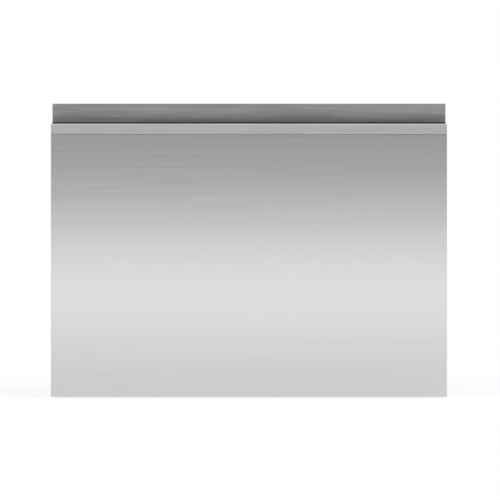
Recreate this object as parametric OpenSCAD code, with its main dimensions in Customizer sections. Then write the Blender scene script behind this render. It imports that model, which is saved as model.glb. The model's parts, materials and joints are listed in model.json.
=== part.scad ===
// Single dishwasher drawer: a steel chassis, a tub that slides out on telescopic slides behind a
// brushed steel front with a recessed handle, and a lid that comes down on the tub for the wash.
// Millimetres. +X is to the right seen from the front, -Y is the front, +Z is up, z = 0 is the floor.

/* [Overall] */
// Width across the front panel
overall_w = 599; // [580:1:640]
// Depth from the front face to the screw heads at the rear
overall_d = 573; // [550:1:620]
// Height from the floor to the top of the front
overall_h = 446.5; // [430:0.5:490]

/* [Clearances] */
// Clearance between resting parts
fit = 0.3; // [0.2:0.05:0.4]
// Running clearance of shafts, pins and hinge rods
pin_run = 0.08; // [0.05:0.01:0.1]

/* [Front panel] */
// Gap between the floor and the front panel
floor_gap = 2; // [2:0.5:8]
// Thickness of the whole front assembly
front_t = 52; // [50:1:60]
// Thickness of the outer steel skin
skin_t = 1; // [0.8:0.1:1.5]
// Depth of the folded edges of the skin
skin_return = 20; // [16:1:30]
// Thickness of the insulation behind the skin
insulation_t = 12; // [8:1:14]
// Wall of the inner moulding
inner_wall = 3; // [2:0.5:4]

/* [Handle] */
// Height of the handle rail's face
lip_h = 15.7; // [12:0.1:20]
// Height of the recess strip above the rail
strip_h = 31.5; // [26:0.5:36]
// Depth of the recess strip behind the front face
recess_d = 32; // [28:1:34]
// Depth of the recess below the top of the rail
finger_d = 26; // [22:1:30]
// Thickness of the handle rail
rail_t = 5; // [4:0.5:7]
// How far the top of the rail's face leans back
lip_lean = 1.5; // [0.5:0.1:2.5]
// Round on the rail's top edge
lip_r = 1.2; // [0.6:0.1:1.6]
// Seam between the rail and the skin
seam = 0.5; // [0.3:0.1:0.8]
// Thickness of the recess sheet
strip_t = 1.5; // [1:0.1:2]
// Inset of the recess strip at each side
strip_inset = 0.5; // [0.3:0.1:2]
// Thickness of the grip liner
liner_t = 2.5; // [2:0.5:3]
// Rise of the grip liner above the rail
liner_rise = 1.5; // [1:0.1:2]
// Inset of the grip liner at each side
liner_inset = 2; // [1.5:0.5:4]

/* [Controls] */
// Thickness of the fascia on top of the front
fascia_t = 2; // [1.5:0.5:3]
// Wall of the control housing
housing_wall = 2; // [1.5:0.5:2.5]
// Width of a button
button_w = 14; // [10:1:18]
// Depth of a button
button_d = 8; // [6:1:9]
// Travel of a button
button_travel = 1; // [0.6:0.1:1.5]
// Distance between neighbouring controls
button_pitch = 70; // [50:5:90]
// Thickness of the control board
board_t = 1.6; // [1.2:0.1:2]

/* [Chassis] */
// Sheet steel thickness
sheet_t = 1; // [0.8:0.1:1.5]
// Reveal between the front's edge and the side panel
side_reveal = 2.5; // [2:0.5:5]
// Gap between the front and the chassis, filled by the gasket
front_gap = 2; // [1.5:0.5:4]
// Drop of the chassis roof below the top of the front
roof_drop = 3; // [3:0.5:6]
// Height of the chassis above the floor
foot_h = 12; // [11:1:16]
// Width of the bottom flanges
bottom_flange = 30; // [28:1:34]
// Width of the top and rear flanges
top_flange = 15; // [12:1:16]
// Width of the front flanges
front_flange = 8; // [6:1:10]
// Height of the roof's front edge
roof_edge = 9; // [6:0.5:9]
// Height of the front crossbar
crossbar_h = 22; // [16:1:24]
// Depth of the front crossbar
crossbar_d = 22; // [18:1:28]
// Wall of the drip tray
tray_wall = 3; // [2:0.5:4]
// Height of the drip tray's walls
tray_h = 18; // [12:1:20]
// Head radius of the chassis screws
screw_head_r = 3.5; // [3:0.1:4]
// Head height of the chassis screws
screw_head_h = 1.6; // [1.2:0.1:2]
// Shank radius of the chassis screws
screw_r = 1.9; // [1.5:0.1:2.2]
// Radius of the side fixing holes
fix_hole_r = 2.5; // [2:0.1:3]
// Distance between the side fixing holes
fix_pitch = 300; // [280:5:310]

/* [Feet] */
// Radius of a foot's pad
foot_pad_r = 12; // [10:0.5:12]
// Thickness of a foot's pad
foot_pad_h = 4; // [3:0.5:5]
// Radius of a foot's stud
stud_r = 4; // [3:0.5:5]
// Distance of the feet from the chassis ends
foot_setback = 45; // [40:1:80]

/* [Slides] */
// Height of a slide
slide_h = 45; // [38:1:50]
// Depth of a closed slide
slide_w = 13; // [12:0.5:15]
// Steel thickness of a slide
slide_t = 1.2; // [1:0.1:1.4]
// Length of a slide member
slide_len = 490; // [460:5:495]
// Height of the slides' centre line above the floor
slide_z = 230; // [180:1:260]
// Running clearance in the slides
slide_run = 0.3; // [0.2:0.05:0.4]

/* [Tub] */
// Space between the tub's rim and the side panel
side_space = 25; // [24:0.5:30]
// Space between the tub's rim and the rear of the object
rear_space = 60; // [56:1:80]
// Width of the tub's rim flange
rim_w = 14; // [13:0.5:18]
// Thickness of the tub's rim flange
rim_t = 4; // [3:0.5:5]
// Wall of the tub
tub_wall = 4; // [3:0.5:5]
// Thickness of the tub's floor
tub_floor_t = 5; // [4:0.5:6]
// Height of the tub's underside above the floor
tub_lift = 100; // [98:1:110]
// Corner radius of the tub
tub_r = 22; // [20:1:40]
// Radius of the sump well
well_r = 100; // [94:1:108]
// Depth of the sump well
well_d = 20; // [19:1:22]

/* [Lid] */
// Space between the roof and the lid
lid_headroom = 10; // [8:0.5:16]
// Height of the lid
lid_h = 16; // [12:1:18]
// Thickness of the lid's plate and ribs
lid_wall = 3; // [2:0.5:4]
// Thickness of the lid's seal
seal_t = 4; // [3:0.5:5]
// Width of the lid's seal
seal_w = 8; // [6:0.5:9]
// Travel of the lid
lid_travel = 8; // [6:0.5:10]
// Module of the lift rack and pinion
gear_module = 1.5; // [1.3:0.1:1.6]
// Width of the lift rack and pinion
gear_w = 6; // [5:0.5:7]

/* [Wash system] */
// Inner radius of the rotor's can
can_r = 30; // [28:0.5:34]
// Wall of the rotor's can
can_wall = 2.5; // [2:0.5:3]
// Depth of the rotor's can below the well
can_d = 38; // [34:1:38]
// Radius of the impeller
impeller_r = 42; // [38:1:44]
// Radius of the fixed shaft below the arm
shaft_r = 6; // [5:0.5:7]
// Radius of the shaft's end, on which the arm turns
shaft_end_r = 4; // [3:0.5:4.5]
// Radius of the motor's stator
stator_r = 60; // [54:1:64]
// Radius of the spray arm
arm_len = 195; // [170:1:198]
// Thickness of the spray arm
arm_t = 8; // [6:0.5:9]
// Radius of the filter plate
filter_r = 112; // [110:1:120]
// Thickness of the filter plate
filter_t = 2.5; // [2:0.5:3]
// Radius of the drain filter
drain_r = 22; // [18:0.5:23]

/* [Racks] */
// Gap between the rack and the tub's front wall
rack_front_gap = 56; // [54:1:70]
// Gap between the rack and the tub's round corners
rack_corner_gap = 4.7; // [1:0.1:5]
// Height of the rack's floor above the tub's floor
rack_lift = 36; // [34:1:42]
// Height of the rack's walls
rack_h = 150; // [120:1:170]
// Thickness of a rack bar
bar_t = 4; // [3:0.5:5]
// Spacing of the rack bars
bar_pitch = 40; // [32:1:50]
// Height of a tine
tine_h = 88; // [70:1:95]
// Radius of a tine
tine_r = 1.8; // [1.5:0.1:2.2]
// Radius of a hinge rod
rod_r = 2.5; // [2:0.1:3]
// Number of tines in a row
tine_count = 8; // [6:1:9]
// Depth of a cup rack
cup_d = 80; // [60:1:85]
// Depth of the cutlery basket
cutlery_d = 56; // [44:1:60]
// Height of the cutlery basket
cutlery_h = 110; // [80:1:120]

/* [Dispenser] */
// Width of the detergent flap
flap_w = 56; // [44:1:60]
// Height of the detergent flap
flap_h = 38; // [30:1:40]
// Depth of the detergent cup
cup_depth = 12; // [10:1:12]
// Radius of the rinse aid cap
cap_r = 15; // [12:0.5:17]

/* [Hose link] */
// Length of a link arm between its pivots
link_len = 460; // [450:1:470]
// Width of a link arm
link_w = 30; // [28:1:32]
// Height of a link arm
link_h = 22; // [20:0.5:22]
// Distance between the two outer pivots when the drawer is closed
link_closed = 28; // [26:1:30]
// Radius of the link pivots
link_pin_r = 5; // [4:0.5:6]
// Play of the elbow pin in the chassis arm
elbow_play = 7.4; // [7:0.1:7.6]
// Outer radius of the hose in the link
hose_r = 8; // [6:0.5:8.5]

/* [Services] */
// Depth of the service pocket in the rear panel
pocket_d = 26; // [24:1:30]
// Width of the service pocket
pocket_w = 142; // [136:1:150]
// Height of the service pocket
pocket_h = 110; // [100:1:120]
// Radius of the water inlet's thread
inlet_r = 13.1; // [12:0.1:14]
// Radius of the drain spigot
spigot_r = 10; // [8:0.5:11]
// Radius of the opening for the mains lead
gland_r = 4; // [3:0.1:5]

/* [Hidden] */
$fn = 64;
eps = 0.01;

// Planes of the front assembly
half_w = overall_w / 2;
y_front = -overall_d / 2;
y_back = overall_d / 2;
y_inner = y_front + front_t;
y_strip = y_front + recess_d;
y_strip_back = y_strip + strip_t;
y_insulation = y_front + skin_t + insulation_t;
z_lip_top = overall_h - strip_h;
z_lip_bottom = z_lip_top - lip_h;
z_channel = z_lip_top - finger_d;
z_channel_under = z_channel - strip_t;
strip_x = half_w - strip_inset;
inner_x = half_w - skin_t - fit;
z_fascia = overall_h - fascia_t;
bead_lap = 1.5;
insulation_inset = 2;
rib_t = 2;
trough_d = 22;
button_y = (y_strip_back + y_inner) / 2;
button_xs = [-2 * button_pitch, -button_pitch, 2 * button_pitch];
button_flange = 1.2;
button_flange_t = 1;
button_drop = 0.2;
stem_r = 2;
board_drop = 14;
z_board = z_fascia - board_drop;
board_end = 20;
switch_w = 6;
switch_h = 3;
board_foot_w = 12;

// Planes of the chassis
y_ch = y_inner + front_gap;
y_rear = y_back - screw_head_h;
y_rear_in = y_rear - sheet_t;
x_ch = half_w - side_reveal;
x_in = x_ch - sheet_t;
z_roof = overall_h - roof_drop;
z_roof_in = z_roof - sheet_t;
z_flange_top = foot_h + sheet_t;
foot_x = x_ch - bottom_flange / 2;
feet_y = [y_ch + foot_setback, y_rear - foot_setback];
tray_lap = 4;
tray_x = x_ch - bottom_flange + tray_lap;
screw_inset = 6.5;
screw_margin = 40;
screw_setback = 30;
screw_z = [foot_h + screw_margin, (foot_h + z_roof) / 2, z_roof - screw_margin];
screw_y = [y_ch + screw_setback, y_rear - screw_setback];
screw_tip = 8;
hole_play = 0.1;
fix_setback = 16;
fix_y = y_ch + fix_setback;
fix_z = (foot_h + z_roof) / 2;
slide_slot = 2;
slide_setback = 4;
groove_w = 12;
groove_d = 0.4;
groove_setback = 120;
groove_end = 90;
vent_h = 4;
vent_pitch = 18;
vent_rows = 8;
vent_margin = [14, 20];
brace_t = 1.5;
nut_h = 5;
nut_wall = 4;
lock_nut_wall = 3;
stud_above = 12;
gasket_play = 1;
gasket_slot = 3;

// Planes of the lid and the tub
lid_top = z_roof_in - lid_headroom;
lid_z = lid_top - lid_h;
seal_z = lid_z - seal_t;
z_rim = seal_z - lid_travel - fit;
rim_x = x_in - side_space;
rim_trim = 1;
rim_y = [y_inner, y_back - rear_space];
wall_x = rim_x - rim_w;
wall_y = [rim_y[0] + rim_w, rim_y[1] - rim_w];
tub_x = wall_x - tub_wall;
tub_y = [wall_y[0] + tub_wall, wall_y[1] - tub_wall];
tub_cy = (wall_y[0] + wall_y[1]) / 2;
z_floor = tub_lift + tub_floor_t;
z_well = z_floor - well_d;
z_can = z_well - can_d;
lid_inset = 3;
lid_x = rim_x - lid_inset;
lid_y = [y_ch + slide_setback, rim_y[1]];
lid_rib_drop = 2;
seal_inset = 2;

// Slides
slide_step = 1;
slide_front = 6;
slide_x0 = x_in - slide_w;
slide_y = [y_ch + slide_setback, y_ch + slide_setback + slide_len];
slide_inner_y = [rim_y[0] + slide_front, wall_y[1] + rim_w];
slide_top = slide_z + slide_h / 2;
slide_bottom = slide_z - slide_h / 2;
rib_h = slide_h / 2;
rib_w = 20;
rib_setback = 60;

// Lid lift
teeth = 16;
pitch_r = gear_module * teeth / 2;
tooth_pitch = PI * gear_module;
gear_gap = 3;
gear_x0 = rim_x + gear_gap;
gear_x1 = gear_x0 + gear_w;
pinion_y = 16;
pinion_drop = 14;
pinion_z = lid_z - pinion_drop;
rack_face_y = pinion_y - pitch_r;
rack_back = 6;
actuator_gap = 1;
actuator_x0 = gear_x1 + actuator_gap;
actuator_y = [rack_face_y - rack_back - 14, pinion_y + 42];
actuator_z = [pinion_z - 24, pinion_z + 20];
guide_t = 5;
guide_h = 4;
lift_motor_r = 7;
lift_motor_len = 34;
lift_arm_h = 8;
pinion_shaft_r = 3;
pinion_shaft_len = 9;

// Wash system
heater_t = 1.5;
z_heater = z_well + heater_t;
heater_r = [impeller_r + 6, well_r - 4];
impeller_gap = 1;
z_impeller = z_heater + impeller_gap;
impeller_h = 11;
blade_t = 3;
disc_t = 2;
vane_inset = 2;
vane_angle = 10;
rotor_hub_wall = 4;
can_run = 1.2;
z_filter = z_floor + filter_t;
tower_r = 18;
tower_wall = 4;
tower_h = 8;
z_tower = z_filter + tower_h;
seat_rise = 3.5;
z_seat = z_tower + seat_rise;
arm_z = [z_seat - 1, z_seat - 1 + arm_t];
hub_cap = 2;
z_hub = arm_z[1] + hub_cap;
hub_wall = 6;
hub_r = tower_r + hub_wall;
tower_run = 0.8;
hub_lift = 2.5;
arm_tip_w = 10;
arm_root_w = 21;
jet_r = 3;
jet_h = 1.5;
shaft_nut_h = 4;
drain_at = [0, (impeller_r + well_r) / 2 + 2];
drain_grip = 4;
drain_wall = 2;
slot_w = 4;
motor_base_t = 1.7;
motor_z = z_can - can_wall - 2;
motor_wall = 5;
lug_r = 9;
lug_h = 6;
coil_gap = 5;
coil_slot = 6;
pump_at = [130, tub_cy + 112];
pump_cover_r = 32;
pump_cover_h = 16;
pump_body_r = 25;
pump_h = 54;
pump_outlet_r = 8;
pump_outlet_len = 50;

// Racks: square corners in the tub's round ones
rack_side_gap = (tub_r - tub_wall) * (1 - sqrt(0.5)) + rack_corner_gap;
rack_x = tub_x - rack_side_gap;
rack_y = [tub_y[0] + rack_front_gap, tub_y[1] - rack_side_gap];
rack_z = z_floor + rack_lift;
rack_top = rack_z + rack_h;
rod_lift = 3;
rod_z = rack_z + bar_t + rod_r + rod_lift;
cup_lift = 20;
cup_z = rack_z + tine_h + cup_lift;
ear_wall = 2;
ear_w = 8;
cup_x = rack_x - bar_t - rod_r - ear_wall;
cutlery_y = [rack_y[0] + bar_t + fit, rack_y[0] + bar_t + fit + cutlery_d];
cutlery_inset = 70;
cutlery_x = rack_x - cutlery_inset;
cutlery_wall = 2;
row_gap = 10;
row_y = [cutlery_y[1] + row_gap, rack_y[1] - bar_t - fit];
row_x = [-60, 100];
tine_step = (row_y[1] - row_y[0]) / tine_count;
ear_ys = [row_y[0] + tine_step, (row_y[0] + row_y[1]) / 2, row_y[1] - tine_step];
cup_bar_t = 3;
grid_gap = 0.4;

// Dispenser in the tub's front wall
dispenser_drop = 78;
dispenser_z = z_rim - dispenser_drop;
dispenser_x = 74;
dispenser_h = 62;
dispenser_lap = 4;
dispenser_back = 7;
plate_t = 5;
ear_gap = 3;
ear_t = 4;
cup_inset = 5;
cap_neck_inset = 5;
cap_neck = 8;
cap_t = 4;
cap_grip_h = 5;
plate_y = tub_y[0] + plate_t;
flap_x = -34;
cap_x = 38;
flap_pin_r = 1.5;
flap_pin_out = 3.5;
flap_pin_y = plate_y + flap_pin_out;
flap_pin_z = dispenser_z - flap_h / 2;
flap_t = 3;

// Hose link behind the tub: the arms lie across the width and open like scissors
link_lift = 48;
link_gap = 2;
link_wall = 2;
link_hub_wall = 4;
hose_wall = 2;
hose_end = 4;
link_ear_lap = 40;
link_ear_end = 12;
post_shoulder = 6;
link_z = [link_lift, link_lift + link_h];
link_upper_z = [link_z[1] + link_gap, link_z[1] + link_gap + link_h];
link_pivot_y = y_rear_in - link_w / 2 - link_gap;
link_tub_y = link_pivot_y - link_closed;
link_x = -link_len / 2;
link_angle = asin(link_closed / 2 / link_len);

// Services at the rear
pocket_margin = 18;
pocket_x = x_ch - top_flange - pocket_w / 2 - pocket_margin;
pocket_z = 190;
y_pocket = y_rear - pocket_d;
y_pocket_back = y_pocket - sheet_t;
service_rise = 22;
inlet_at = [pocket_x + 38, pocket_z + service_rise];
spigot_at = [pocket_x - 6, pocket_z - service_rise];
gland_at = [pocket_x - 48, pocket_z + service_rise];
port_setback = 2;
port_shoulder = 0.5;
port_step = 0.7;
inlet_wall = 4;
inlet_collar = 5;
inlet_neck = 12;
inlet_neck_floor = 6;
valve_d = 19;
valve_half_w = 13;
valve_z = [-14, 26];
coil_r = 9;
coil_h = 22;
spigot_wall = 2;
spigot_collar = [6, 4];
spigot_tail = 20;
gland_wall = 3;
gland_flange = 3;
gland_nut = [5, 5];
gland_neck = 14;
gland_relief = 1.2;
module_margin = 12;
module_w = 148;
module_d = 32.7;
module_x = [-x_ch + top_flange + module_margin, -x_ch + top_flange + module_margin + module_w];
module_z = [140, 320];
module_tab = [20, 14, 8];
plug_w = 20;
plug_pitch = 32;
plug_h = 8;
plug_d = 14;
plug_count = 4;

// ---- Shared shapes ----

// A box between two corners
module slab(x, y, z) {
    translate([x[0], y[0], z[0]]) cube([x[1] - x[0], y[1] - y[0], z[1] - z[0]]);
}

// Round bars along each axis
module rod_x(x, y, z, r) translate([x[0], y, z]) rotate([0, 90, 0]) cylinder(r = r, h = x[1] - x[0]);
module rod_y(x, y, z, r) translate([x, y[0], z]) rotate([-90, 0, 0]) cylinder(r = r, h = y[1] - y[0]);
module rod_z(x, y, z, r) translate([x, y, z[0]]) cylinder(r = r, h = z[1] - z[0]);

// A flat rectangle with round corners
module round_rect(x, y, r) {
    translate([x[0] + r, y[0]]) square([x[1] - x[0] - 2 * r, y[1] - y[0]]);
    translate([x[0], y[0] + r]) square([x[1] - x[0], y[1] - y[0] - 2 * r]);
    for (cx = [x[0] + r, x[1] - r], cy = [y[0] + r, y[1] - r]) translate([cx, cy]) circle(r);
}

// An upright prism on that rectangle
module round_prism(x, y, z, r) {
    translate([0, 0, z[0]]) linear_extrude(z[1] - z[0]) round_rect(x, y, r);
}

// What is drawn for the right side is mirrored for the left
module on_side(s) mirror([s < 0 ? 1 : 0, 0, 0]) children();

// A profile given as depth and height, extruded across the width
module across(x, points) {
    translate([x[0], 0, 0]) rotate([90, 0, 90]) linear_extrude(x[1] - x[0]) polygon(points);
}

// ---- Chassis ----

// Folded steel side with its flanges, foot holes, fixing holes and screw holes
module side_panel(s) on_side(s) color("silver") difference() {
    union() {
        slab([x_in, x_ch], [y_ch, y_rear_in], [foot_h, z_roof_in]);
        slab([x_ch - bottom_flange, x_in + eps], [y_ch, y_rear_in], [foot_h, z_flange_top]);
        slab([x_ch - top_flange, x_in + eps], [y_ch, y_rear_in], [z_roof_in - sheet_t, z_roof_in]);
        slab([x_ch - front_flange, x_in + eps], [y_ch, y_ch + sheet_t], [foot_h, z_roof_in]);
        slab([x_ch - top_flange, x_in + eps], [y_rear_in - sheet_t, y_rear_in], [foot_h, z_roof_in]);
    }
    slab([x_ch - front_flange - 1, x_in], [y_ch - 1, y_ch + sheet_t + 1],
        [slide_bottom - slide_slot, slide_top + slide_slot]);
    for (y = feet_y) rod_z(foot_x, y, [foot_h - 1, z_flange_top + 1], stud_r + hole_play);
    for (k = [-1, 1]) rod_x([x_in - 1, x_ch + 1], fix_y, fix_z + k * fix_pitch / 2, fix_hole_r);
    for (z = screw_z) rod_y(x_ch - screw_inset, [y_rear_in - sheet_t - 1, y_rear], z, screw_r + hole_play);
    for (y = screw_y) rod_z(x_ch - screw_inset, y, [z_roof_in - sheet_t - 1, z_roof], screw_r + hole_play);
}

// Roof sheet with a folded front edge and two stiffening grooves
module top_panel() color("silver") difference() {
    union() {
        slab([-x_ch, x_ch], [y_ch, y_rear], [z_roof_in, z_roof]);
        slab([fit + top_flange - x_ch, x_ch - top_flange - fit], [y_ch, y_ch + sheet_t],
            [z_roof - roof_edge, z_roof_in + eps]);
    }
    for (s = [-1, 1], y = screw_y)
        rod_z(s * (x_ch - screw_inset), y, [z_roof_in - 1, z_roof + 1], screw_r + hole_play);
    for (y = [y_ch + groove_setback, y_rear - groove_setback])
        slab([groove_end - x_ch, x_ch - groove_end], [y - groove_w / 2, y + groove_w / 2],
            [z_roof - groove_d, z_roof + 1]);
}

// Rear sheet with the service pocket, cooling slots and screw holes
module rear_panel() color("silver") difference() {
    union() {
        slab([-x_ch, x_ch], [y_rear_in, y_rear], [foot_h, z_roof_in]);
        slab([pocket_x - pocket_w / 2, pocket_x + pocket_w / 2], [y_pocket - sheet_t, y_rear_in + eps],
            [pocket_z - pocket_h / 2, pocket_z + pocket_h / 2]);
    }
    slab([pocket_x - pocket_w / 2 + sheet_t, pocket_x + pocket_w / 2 - sheet_t], [y_pocket, y_rear + 1],
        [pocket_z - pocket_h / 2 + sheet_t, pocket_z + pocket_h / 2 - sheet_t]);
    through_pocket(inlet_at, inlet_r + fit);
    through_pocket(spigot_at, spigot_r + fit);
    through_pocket(gland_at, gland_r + gland_wall + fit);
    for (s = [-1, 1], z = screw_z)
        rod_y(s * (x_ch - screw_inset), [y_rear_in - 1, y_rear + 1], z, screw_r + hole_play);
    for (k = [0:vent_rows - 1]) let (z = module_z[0] + vent_margin[1] + vent_pitch * k)
        slab([module_x[0] + vent_margin[0], module_x[1] - vent_margin[0]], [y_rear_in - 1, y_rear + 1],
            [z, z + vent_h]);
}

module through_pocket(at, r) rod_y(at[0], [y_pocket - sheet_t - 1, y_pocket + 1], at[1], r);

// Drip tray that catches leaks, with the post of the hose link
module base_tray() color("darkgray") {
    y0 = y_ch + sheet_t + crossbar_d + fit;
    y1 = y_rear_in - sheet_t - fit;
    difference() {
        slab([-tray_x, tray_x], [y0, y1], [z_flange_top, z_flange_top + tray_h]);
        slab([tray_wall - tray_x, tray_x - tray_wall], [y0 + tray_wall, y1 - tray_wall],
            [z_flange_top + tray_wall, z_flange_top + tray_h + 1]);
    }
    rod_z(link_x, link_pivot_y, [z_flange_top + tray_wall - eps, link_z[0] - fit],
        link_pin_r + post_shoulder);
    rod_z(link_x, link_pivot_y, [z_flange_top + tray_wall - eps, link_z[1] - link_wall], link_pin_r);
}

// Angle that ties the two side panels below the drawer
module front_crossbar() color("silver") {
    y0 = y_ch + sheet_t;
    slab([-x_in, x_in], [y0, y0 + brace_t], [z_flange_top, z_flange_top + crossbar_h]);
    slab([-x_in, x_in], [y0, y0 + crossbar_d], [z_flange_top, z_flange_top + brace_t]);
}

// Four levelling feet: pad, stud, adjusting nut below the flange and lock nut above it
module levelling_feet() color("dimgray") for (s = [-1, 1], y = feet_y) translate([s * foot_x, y, 0]) {
    cylinder(r = foot_pad_r, h = foot_pad_h);
    cylinder(r = stud_r, h = z_flange_top + stud_above);
    translate([0, 0, foot_h - nut_h]) cylinder(r = stud_r + nut_wall, h = nut_h, $fn = 6);
    translate([0, 0, z_flange_top]) cylinder(r = stud_r + lock_nut_wall, h = nut_h, $fn = 6);
}

// Screws of the rear panel and the roof
module chassis_screws() color("gainsboro") for (s = [-1, 1]) {
    for (z = screw_z) {
        rod_y(s * (x_ch - screw_inset), [y_rear, y_back], z, screw_head_r);
        rod_y(s * (x_ch - screw_inset), [y_rear_in - screw_tip, y_rear + eps], z, screw_r);
    }
    for (y = screw_y) {
        rod_z(s * (x_ch - screw_inset), y, [z_roof, z_roof + screw_head_h], screw_head_r);
        rod_z(s * (x_ch - screw_inset), y, [z_roof_in - screw_tip, z_roof + eps], screw_r);
    }
}

// Rubber seal on the chassis's front edges, open where the slides come out
module door_gasket() color("dimgray") {
    depth = front_gap - fit;
    y = [y_ch - depth, y_ch];
    edge = [x_ch - front_flange, x_ch - gasket_play];
    for (s = [-1, 1]) on_side(s) {
        slab(edge, y, [foot_h, slide_bottom - gasket_slot]);
        slab(edge, y, [slide_top + gasket_slot, z_roof - gasket_play]);
    }
    slab([front_flange - x_ch, x_ch - front_flange], y,
        [z_roof - roof_edge + gasket_play, z_roof - gasket_play]);
}

// Outer slide member, a channel on the side panel
module slide_outer(s) on_side(s) color("lightsteelblue") difference() {
    slab([slide_x0 + 2 * slide_step, x_in], slide_y, [slide_bottom, slide_top]);
    slab([slide_x0 - 1, x_in - slide_t], [slide_y[0] - 1, slide_y[1] + 1],
        [slide_bottom + slide_t, slide_top - slide_t]);
}

// Middle slide member, a channel that nests in the outer one
module slide_middle(s) on_side(s) color("lightsteelblue") {
    gap = slide_t + slide_run;
    difference() {
        slab([slide_x0 + slide_step, x_in - gap], slide_y, [slide_bottom + gap, slide_top - gap]);
        slab([slide_x0 - 1, x_in - gap - slide_t], [slide_y[0] - 1, slide_y[1] + 1],
            [slide_bottom + gap + slide_t, slide_top - gap - slide_t]);
    }
}

// Inner slide member, a channel on the tub that opens outwards
module slide_inner(s) on_side(s) color("lightsteelblue") {
    gap = 2 * (slide_t + slide_run);
    difference() {
        slab([slide_x0, x_in - gap], slide_inner_y, [slide_bottom + gap, slide_top - gap]);
        slab([slide_x0 + slide_t, x_in], [slide_inner_y[0] - 1, slide_inner_y[1] + 1],
            [slide_bottom + gap + slide_t, slide_top - gap - slide_t]);
    }
}

// Power electronics in a box on the rear panel
module control_module() color("dimgray") {
    y1 = y_rear_in - sheet_t - fit;
    slab(module_x, [y1 - module_d, y1], module_z);
    slab([module_x[0] + module_tab[0], module_x[1] - module_tab[0]], [y1 - eps, y_rear_in],
        [module_z[1] - module_tab[1], module_z[1] - module_tab[1] + module_tab[2]]);
    for (k = [0:plug_count - 1]) let (x = module_x[0] + vent_margin[0] + plug_pitch * k)
        slab([x, x + plug_w], [y1 - (module_d + plug_d) / 2, y1 - (module_d - plug_d) / 2],
            [module_z[0] - plug_h, module_z[0] + eps]);
}

// Solenoid valve with the threaded water inlet
module inlet_valve() color("white") {
    x = inlet_at[0];
    z = inlet_at[1];
    difference() {
        union() {
            rod_y(x, [y_pocket_back - inlet_neck, y_rear - port_setback], z, inlet_r - port_step);
            rod_y(x, [y_pocket + port_shoulder, y_rear - port_setback], z, inlet_r);
            rod_y(x, [y_pocket_back - inlet_neck, y_pocket_back], z, inlet_r + inlet_collar);
        }
        rod_y(x, [y_pocket_back - inlet_neck_floor, y_rear], z, inlet_r - inlet_wall);
    }
    slab([x - valve_half_w, x + valve_half_w],
        [y_pocket_back - inlet_neck + 1 - valve_d, y_pocket_back - inlet_neck + 1], [z + valve_z[0], z + valve_z[1]]);
    rod_z(x, y_pocket_back - inlet_neck + 1 - valve_d / 2, [z + valve_z[1] - 1, z + valve_z[1] + coil_h], coil_r);
}

// Barbed spigot for the drain hose
module drain_spigot() color("white") {
    x = spigot_at[0];
    z = spigot_at[1];
    difference() {
        union() {
            rod_y(x, [y_pocket_back - spigot_tail, y_rear - port_setback], z, spigot_r - port_step);
            rod_y(x, [y_pocket + port_shoulder, y_rear - port_setback], z, spigot_r);
            rod_y(x, [y_pocket_back - spigot_collar[1], y_pocket_back], z, spigot_r + spigot_collar[0]);
        }
        rod_y(x, [y_pocket_back - spigot_tail - 1, y_rear], z, spigot_r - spigot_wall);
    }
}

// Bushing that grips the mains lead; its bore is wider at the inner end
module cord_gland() color("black") {
    x = gland_at[0];
    z = gland_at[1];
    difference() {
        union() {
            rod_y(x, [y_pocket_back - gland_nut[1], y_pocket + gland_neck], z, gland_r + gland_wall);
            rod_y(x, [y_pocket, y_pocket + gland_flange], z, gland_r + 2 * gland_wall);
            rod_y(x, [y_pocket_back - gland_nut[1], y_pocket_back], z, gland_r + gland_nut[0]);
        }
        rod_y(x, [y_pocket, y_pocket + gland_neck + 1], z, gland_r);
        rod_y(x, [y_pocket_back - gland_nut[1] - 1, y_pocket + port_setback], z, gland_r + gland_relief);
    }
}

// ---- Lid and its lift ----

// Ribbed lid with a lift rack at each side
module lid() color("whitesmoke") {
    rib_x = 2 * lid_x / 4;
    rib_y = (lid_y[1] - lid_y[0]) / 3;
    slab([-lid_x, lid_x], lid_y, [lid_z, lid_z + lid_wall]);
    difference() {
        slab([-lid_x, lid_x], lid_y, [lid_z, lid_top]);
        slab([lid_wall - lid_x, lid_x - lid_wall], [lid_y[0] + lid_wall, lid_y[1] - lid_wall],
            [lid_z - 1, lid_top + 1]);
    }
    for (k = [1:3]) slab([k * rib_x - lid_x - lid_wall / 2, k * rib_x - lid_x + lid_wall / 2],
        lid_y, [lid_z, lid_top - lid_rib_drop]);
    for (k = [1:2]) slab([-lid_x, lid_x],
        [lid_y[0] + k * rib_y - lid_wall / 2, lid_y[0] + k * rib_y + lid_wall / 2], [lid_z, lid_top - lid_rib_drop]);
    for (s = [-1, 1]) on_side(s) lift_rack();
}

// Arm on the lid's edge with a straight rack that hangs from it
module lift_rack() {
    y0 = rack_face_y - gear_module * 1.2;
    z0 = pinion_z - 3.5 * tooth_pitch;
    slab([lid_x - eps, gear_x1], [y0 - rack_back, y0 + 0.5],
        [lid_z + lid_rib_drop, lid_z + lid_rib_drop + lift_arm_h]);
    slab([gear_x0, gear_x1], [y0 - rack_back, y0], [z0 - 1, lid_z + lid_wall]);
    translate([gear_x0, 0, 0]) rotate([90, 0, 90]) linear_extrude(gear_w)
        for (k = [0:6]) translate([rack_face_y, pinion_z + (k - 3) * tooth_pitch]) rack_tooth();
}

// One rack tooth at 20 degrees, thinned by the backlash and a little low, so that it never bottoms
module rack_tooth() {
    backlash = 0.3;
    low = gear_module * 1.2;
    high = gear_module * 0.75;
    half = tooth_pitch / 4 - backlash / 2;
    slope = tan(20);
    polygon([[-low - 0.2, -half - low * slope], [high, -half + high * slope],
        [high, half - high * slope], [-low - 0.2, half + low * slope]]);
}

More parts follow.
